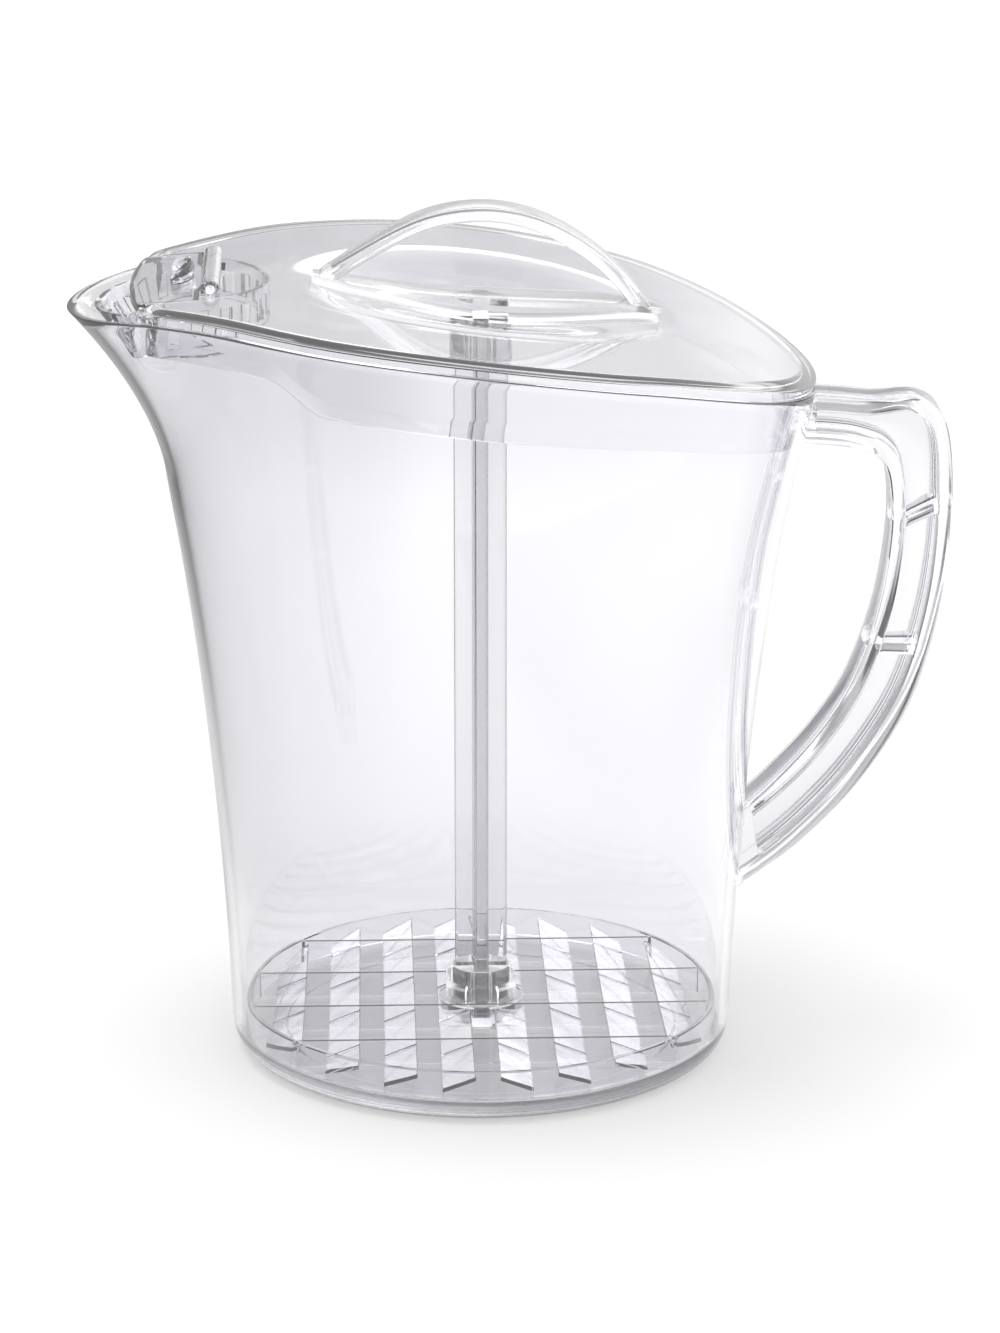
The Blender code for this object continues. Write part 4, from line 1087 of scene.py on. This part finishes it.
# A strong painted glow lightens the grip, and a wide painted edge shade draws its dark outline.
grip_plastic = clear_plastic(
    "grip_plastic",
    tint=(0.986, 0.983, 1.0),
    density=2.0,
    painted_glow_level=0.36,
    edge=(0.5, 0.8),
    surface={"Ripple Scale": 70.0, "Ripple": 0.12, "Haze": 0.02, "Roughness": 0.12, "Marks": 0.5},
)
finish_mesh(grip, grip_plastic)


# Plunger rod
# A straight clear rod of cross-shaped section, so that it slides but doesn't turn in the collar.
DISC_BOTTOM = FLOOR + RUNNING_GAP
SLAT_INSET = 0.0004
HUB_FLOOR = 0.0016
ROD_BOTTOM = DISC_BOTTOM + SLAT_INSET + HUB_FLOOR + TOUCH_GAP
ROD_CORNER = 0.0012

rod_shape = plus_prism(ROD_SPAN, ROD_FIN, ROD_CORNER, ROD_BOTTOM, ROD_TOP)
rod = moulding("rod", *rod_shape, "plunger", "plunger_rod")
# A painted edge shade from a low facing value draws dark lines along the rod's fins.
rod_plastic = clear_plastic(
    "rod_plastic",
    tint=(0.985, 0.984, 0.99),
    density=60.0,
    painted_glow_level=0.01,
    edge=(0.15, 1.0),
    surface={"Ripple Scale": 50.0, "Ripple": 0.1, "Haze": 0.02, "Roughness": 0.015, "Marks": 0.5},
    depth_colour=(0.5, 0.5, 0.52),
)
finish_mesh(rod, rod_plastic)


# Mixing disc
# One clear moulding: a ring, four straight bars, eight slats inclined towards the rod, and a hub
# with a sleeve and four clips that hold the rod's foot.
DISC_CLEARANCE = 0.0014
RING_WALL = 0.0015
RING_HEIGHT = 0.0082
BAR_COUNT = 4
BAR_WALL = 0.0011
VANES_PER_SIDE = 4
VANE_WIDTH = 0.0098
VANE_WALL = 0.0012
VANE_ANGLE = math.radians(22)
VANE_ROWS = 5
HUB_RADIUS = 0.0125
HUB_HEIGHT = 0.0062
SLEEVE_WALL = 0.0009
SLEEVE_TOP = 0.0155
CLIP_RADIUS = 0.0112
CLIP_WALL = 0.0012
CLIP_HALF_TURN = math.radians(19)
CLIP_TOP = 0.0118
CLIP_STEPS = 13
CLIP_EASE = 0.001
CATCH_REACH = 1.7 * CLIP_WALL
CATCH_TOP_DROP = 0.0006
CATCH_LOW_DROP = 0.0014
CATCH_ROOT_DROP = 0.002
RING_EASE = 0.0003
HUB_EASE = 0.0004
SLEEVE_FILLET = 0.0006
RING_STEPS = 240
PITCH_MARGIN = 0.25
DISC_RADIUS = float(turned_radius(DISC_BOTTOM)) - WALL - DISC_CLEARANCE


def vane(middle, half, slope, reach):
    """Inclined slat along Y whose ends follow the ring."""
    rows = []
    centre = DISC_BOTTOM + RING_HEIGHT / 2
    for side in np.linspace(-1, 1, VANE_ROWS):
        x = middle + side * half * math.cos(slope)
        z = centre + side * half * math.sin(slope)
        end = math.sqrt(reach**2 - x**2)
        low = z - VANE_WALL / 2
        high = z + VANE_WALL / 2
        rows.append([(x, -end, low), (x, end, low), (x, end, high), (x, -end, high)])
    return skin(rows)


def clip(turn):
    """Curved upright tab on the hub: an arc of a thin tube with a small inward catch."""
    turns = turn + np.linspace(-CLIP_HALF_TURN, CLIP_HALF_TURN, CLIP_STEPS)
    low = DISC_BOTTOM + HUB_HEIGHT - TOUCH_GAP
    high = DISC_BOTTOM + CLIP_TOP
    outline = [
        (CLIP_RADIUS, low),
        (CLIP_RADIUS, high - CLIP_EASE),
        (CLIP_RADIUS - CLIP_WALL / 2, high),
        (CLIP_RADIUS - CATCH_REACH, high - CATCH_TOP_DROP),
        (CLIP_RADIUS - CATCH_REACH, high - CATCH_LOW_DROP),
        (CLIP_RADIUS - CLIP_WALL, high - CATCH_ROOT_DROP),
        (CLIP_RADIUS - CLIP_WALL, low),
    ]
    rows = [[(r * math.cos(t), r * math.sin(t), z) for r, z in outline] for t in turns]
    return skin(rows)


RING_TURNS = np.arange(RING_STEPS) * 2 * math.pi / RING_STEPS
HIGH = DISC_BOTTOM + RING_HEIGHT
RING_INNER = DISC_RADIUS - RING_WALL
ring_section = [
    (RING_INNER, DISC_BOTTOM),
    (DISC_RADIUS, DISC_BOTTOM),
    (DISC_RADIUS, HIGH - RING_EASE),
    (DISC_RADIUS - RING_EASE, HIGH),
    (RING_INNER + RING_EASE, HIGH),
    (RING_INNER, HIGH - RING_EASE),
]
ring_rows = [around(radius, height, RING_TURNS) for radius, height in ring_section]
disc = moulding("disc", *skin(ring_rows, closed=True), "plunger", "mixing_disc")
reach = DISC_RADIUS - RING_WALL / 2
spacing = 2 * DISC_RADIUS / (BAR_COUNT + 1)
for k in range(BAR_COUNT):
    y = (k - (BAR_COUNT - 1) / 2) * spacing
    end = math.sqrt(reach**2 - y**2)
    low_corner = (-end, y - BAR_WALL / 2, DISC_BOTTOM + SLAT_INSET)
    high_corner = (end, y + BAR_WALL / 2, HIGH - SLAT_INSET)
    carve(disc, *box_shape(low_corner, high_corner), "UNION")
pitch = reach / (VANES_PER_SIDE + PITCH_MARGIN)
for side in (-1, 1):
    for k in range(VANES_PER_SIDE):
        carve(disc, *vane(side * (k + 0.5) * pitch, VANE_WIDTH / 2, -side * VANE_ANGLE, reach), "UNION")
hub_turns = RING_TURNS[::3]
sleeve = ROD_SPAN / 2 + TOUCH_GAP + SLEEVE_WALL
hub_section = [
    (HUB_RADIUS, SLAT_INSET),
    (HUB_RADIUS, HUB_HEIGHT - HUB_EASE),
    (HUB_RADIUS - HUB_EASE, HUB_HEIGHT),
    (sleeve + SLEEVE_FILLET, HUB_HEIGHT),
    (sleeve, HUB_HEIGHT + SLEEVE_FILLET),
    (sleeve, SLEEVE_TOP - RING_EASE),
    (sleeve - RING_EASE, SLEEVE_TOP),
]
hub_rows = [around(radius, DISC_BOTTOM + height, hub_turns) for radius, height in hub_section]
carve(disc, *skin(hub_rows), "UNION")
for quarter in range(4):
    carve(disc, *clip((quarter + 0.5) * math.pi / 2), "UNION")
carve(disc, *rod_hole(TOUCH_GAP, ROD_BOTTOM - TOUCH_GAP, DISC_BOTTOM + SLEEVE_TOP + OVERRUN))
disc_plastic = clear_plastic(
    "disc_plastic",
    tint=(0.983, 0.978, 1.0),
    density=5.0,
    painted_glow_level=0.02,
    edge=(0.7, 0.8),
    surface={"Ripple Scale": 80.0, "Ripple": 0.15, "Haze": 0.02, "Roughness": 0.015, "Marks": 0.4},
)
finish_mesh(disc, disc_plastic)
# The hub is a lit copy of the disc's plastic: a whiter tint and a strong painted glow make it look whitish,
# and its surface is rougher.
hub_painted_glow_plastic = clear_plastic(
    "hub_painted_glow_plastic",
    tint=(1.0, 1.0, 1.0),
    density=5.0,
    painted_glow_level=0.4,
    edge=(0.82, 0.3),
    surface={"Ripple Scale": 80.0, "Ripple": 0.15, "Haze": 0.02, "Roughness": 0.14, "Marks": 0.4},
)
middles = face_middles(disc)
add_material(disc, hub_painted_glow_plastic, np.hypot(middles[:, 0], middles[:, 1]) < HUB_RADIUS + TOUCH_GAP)
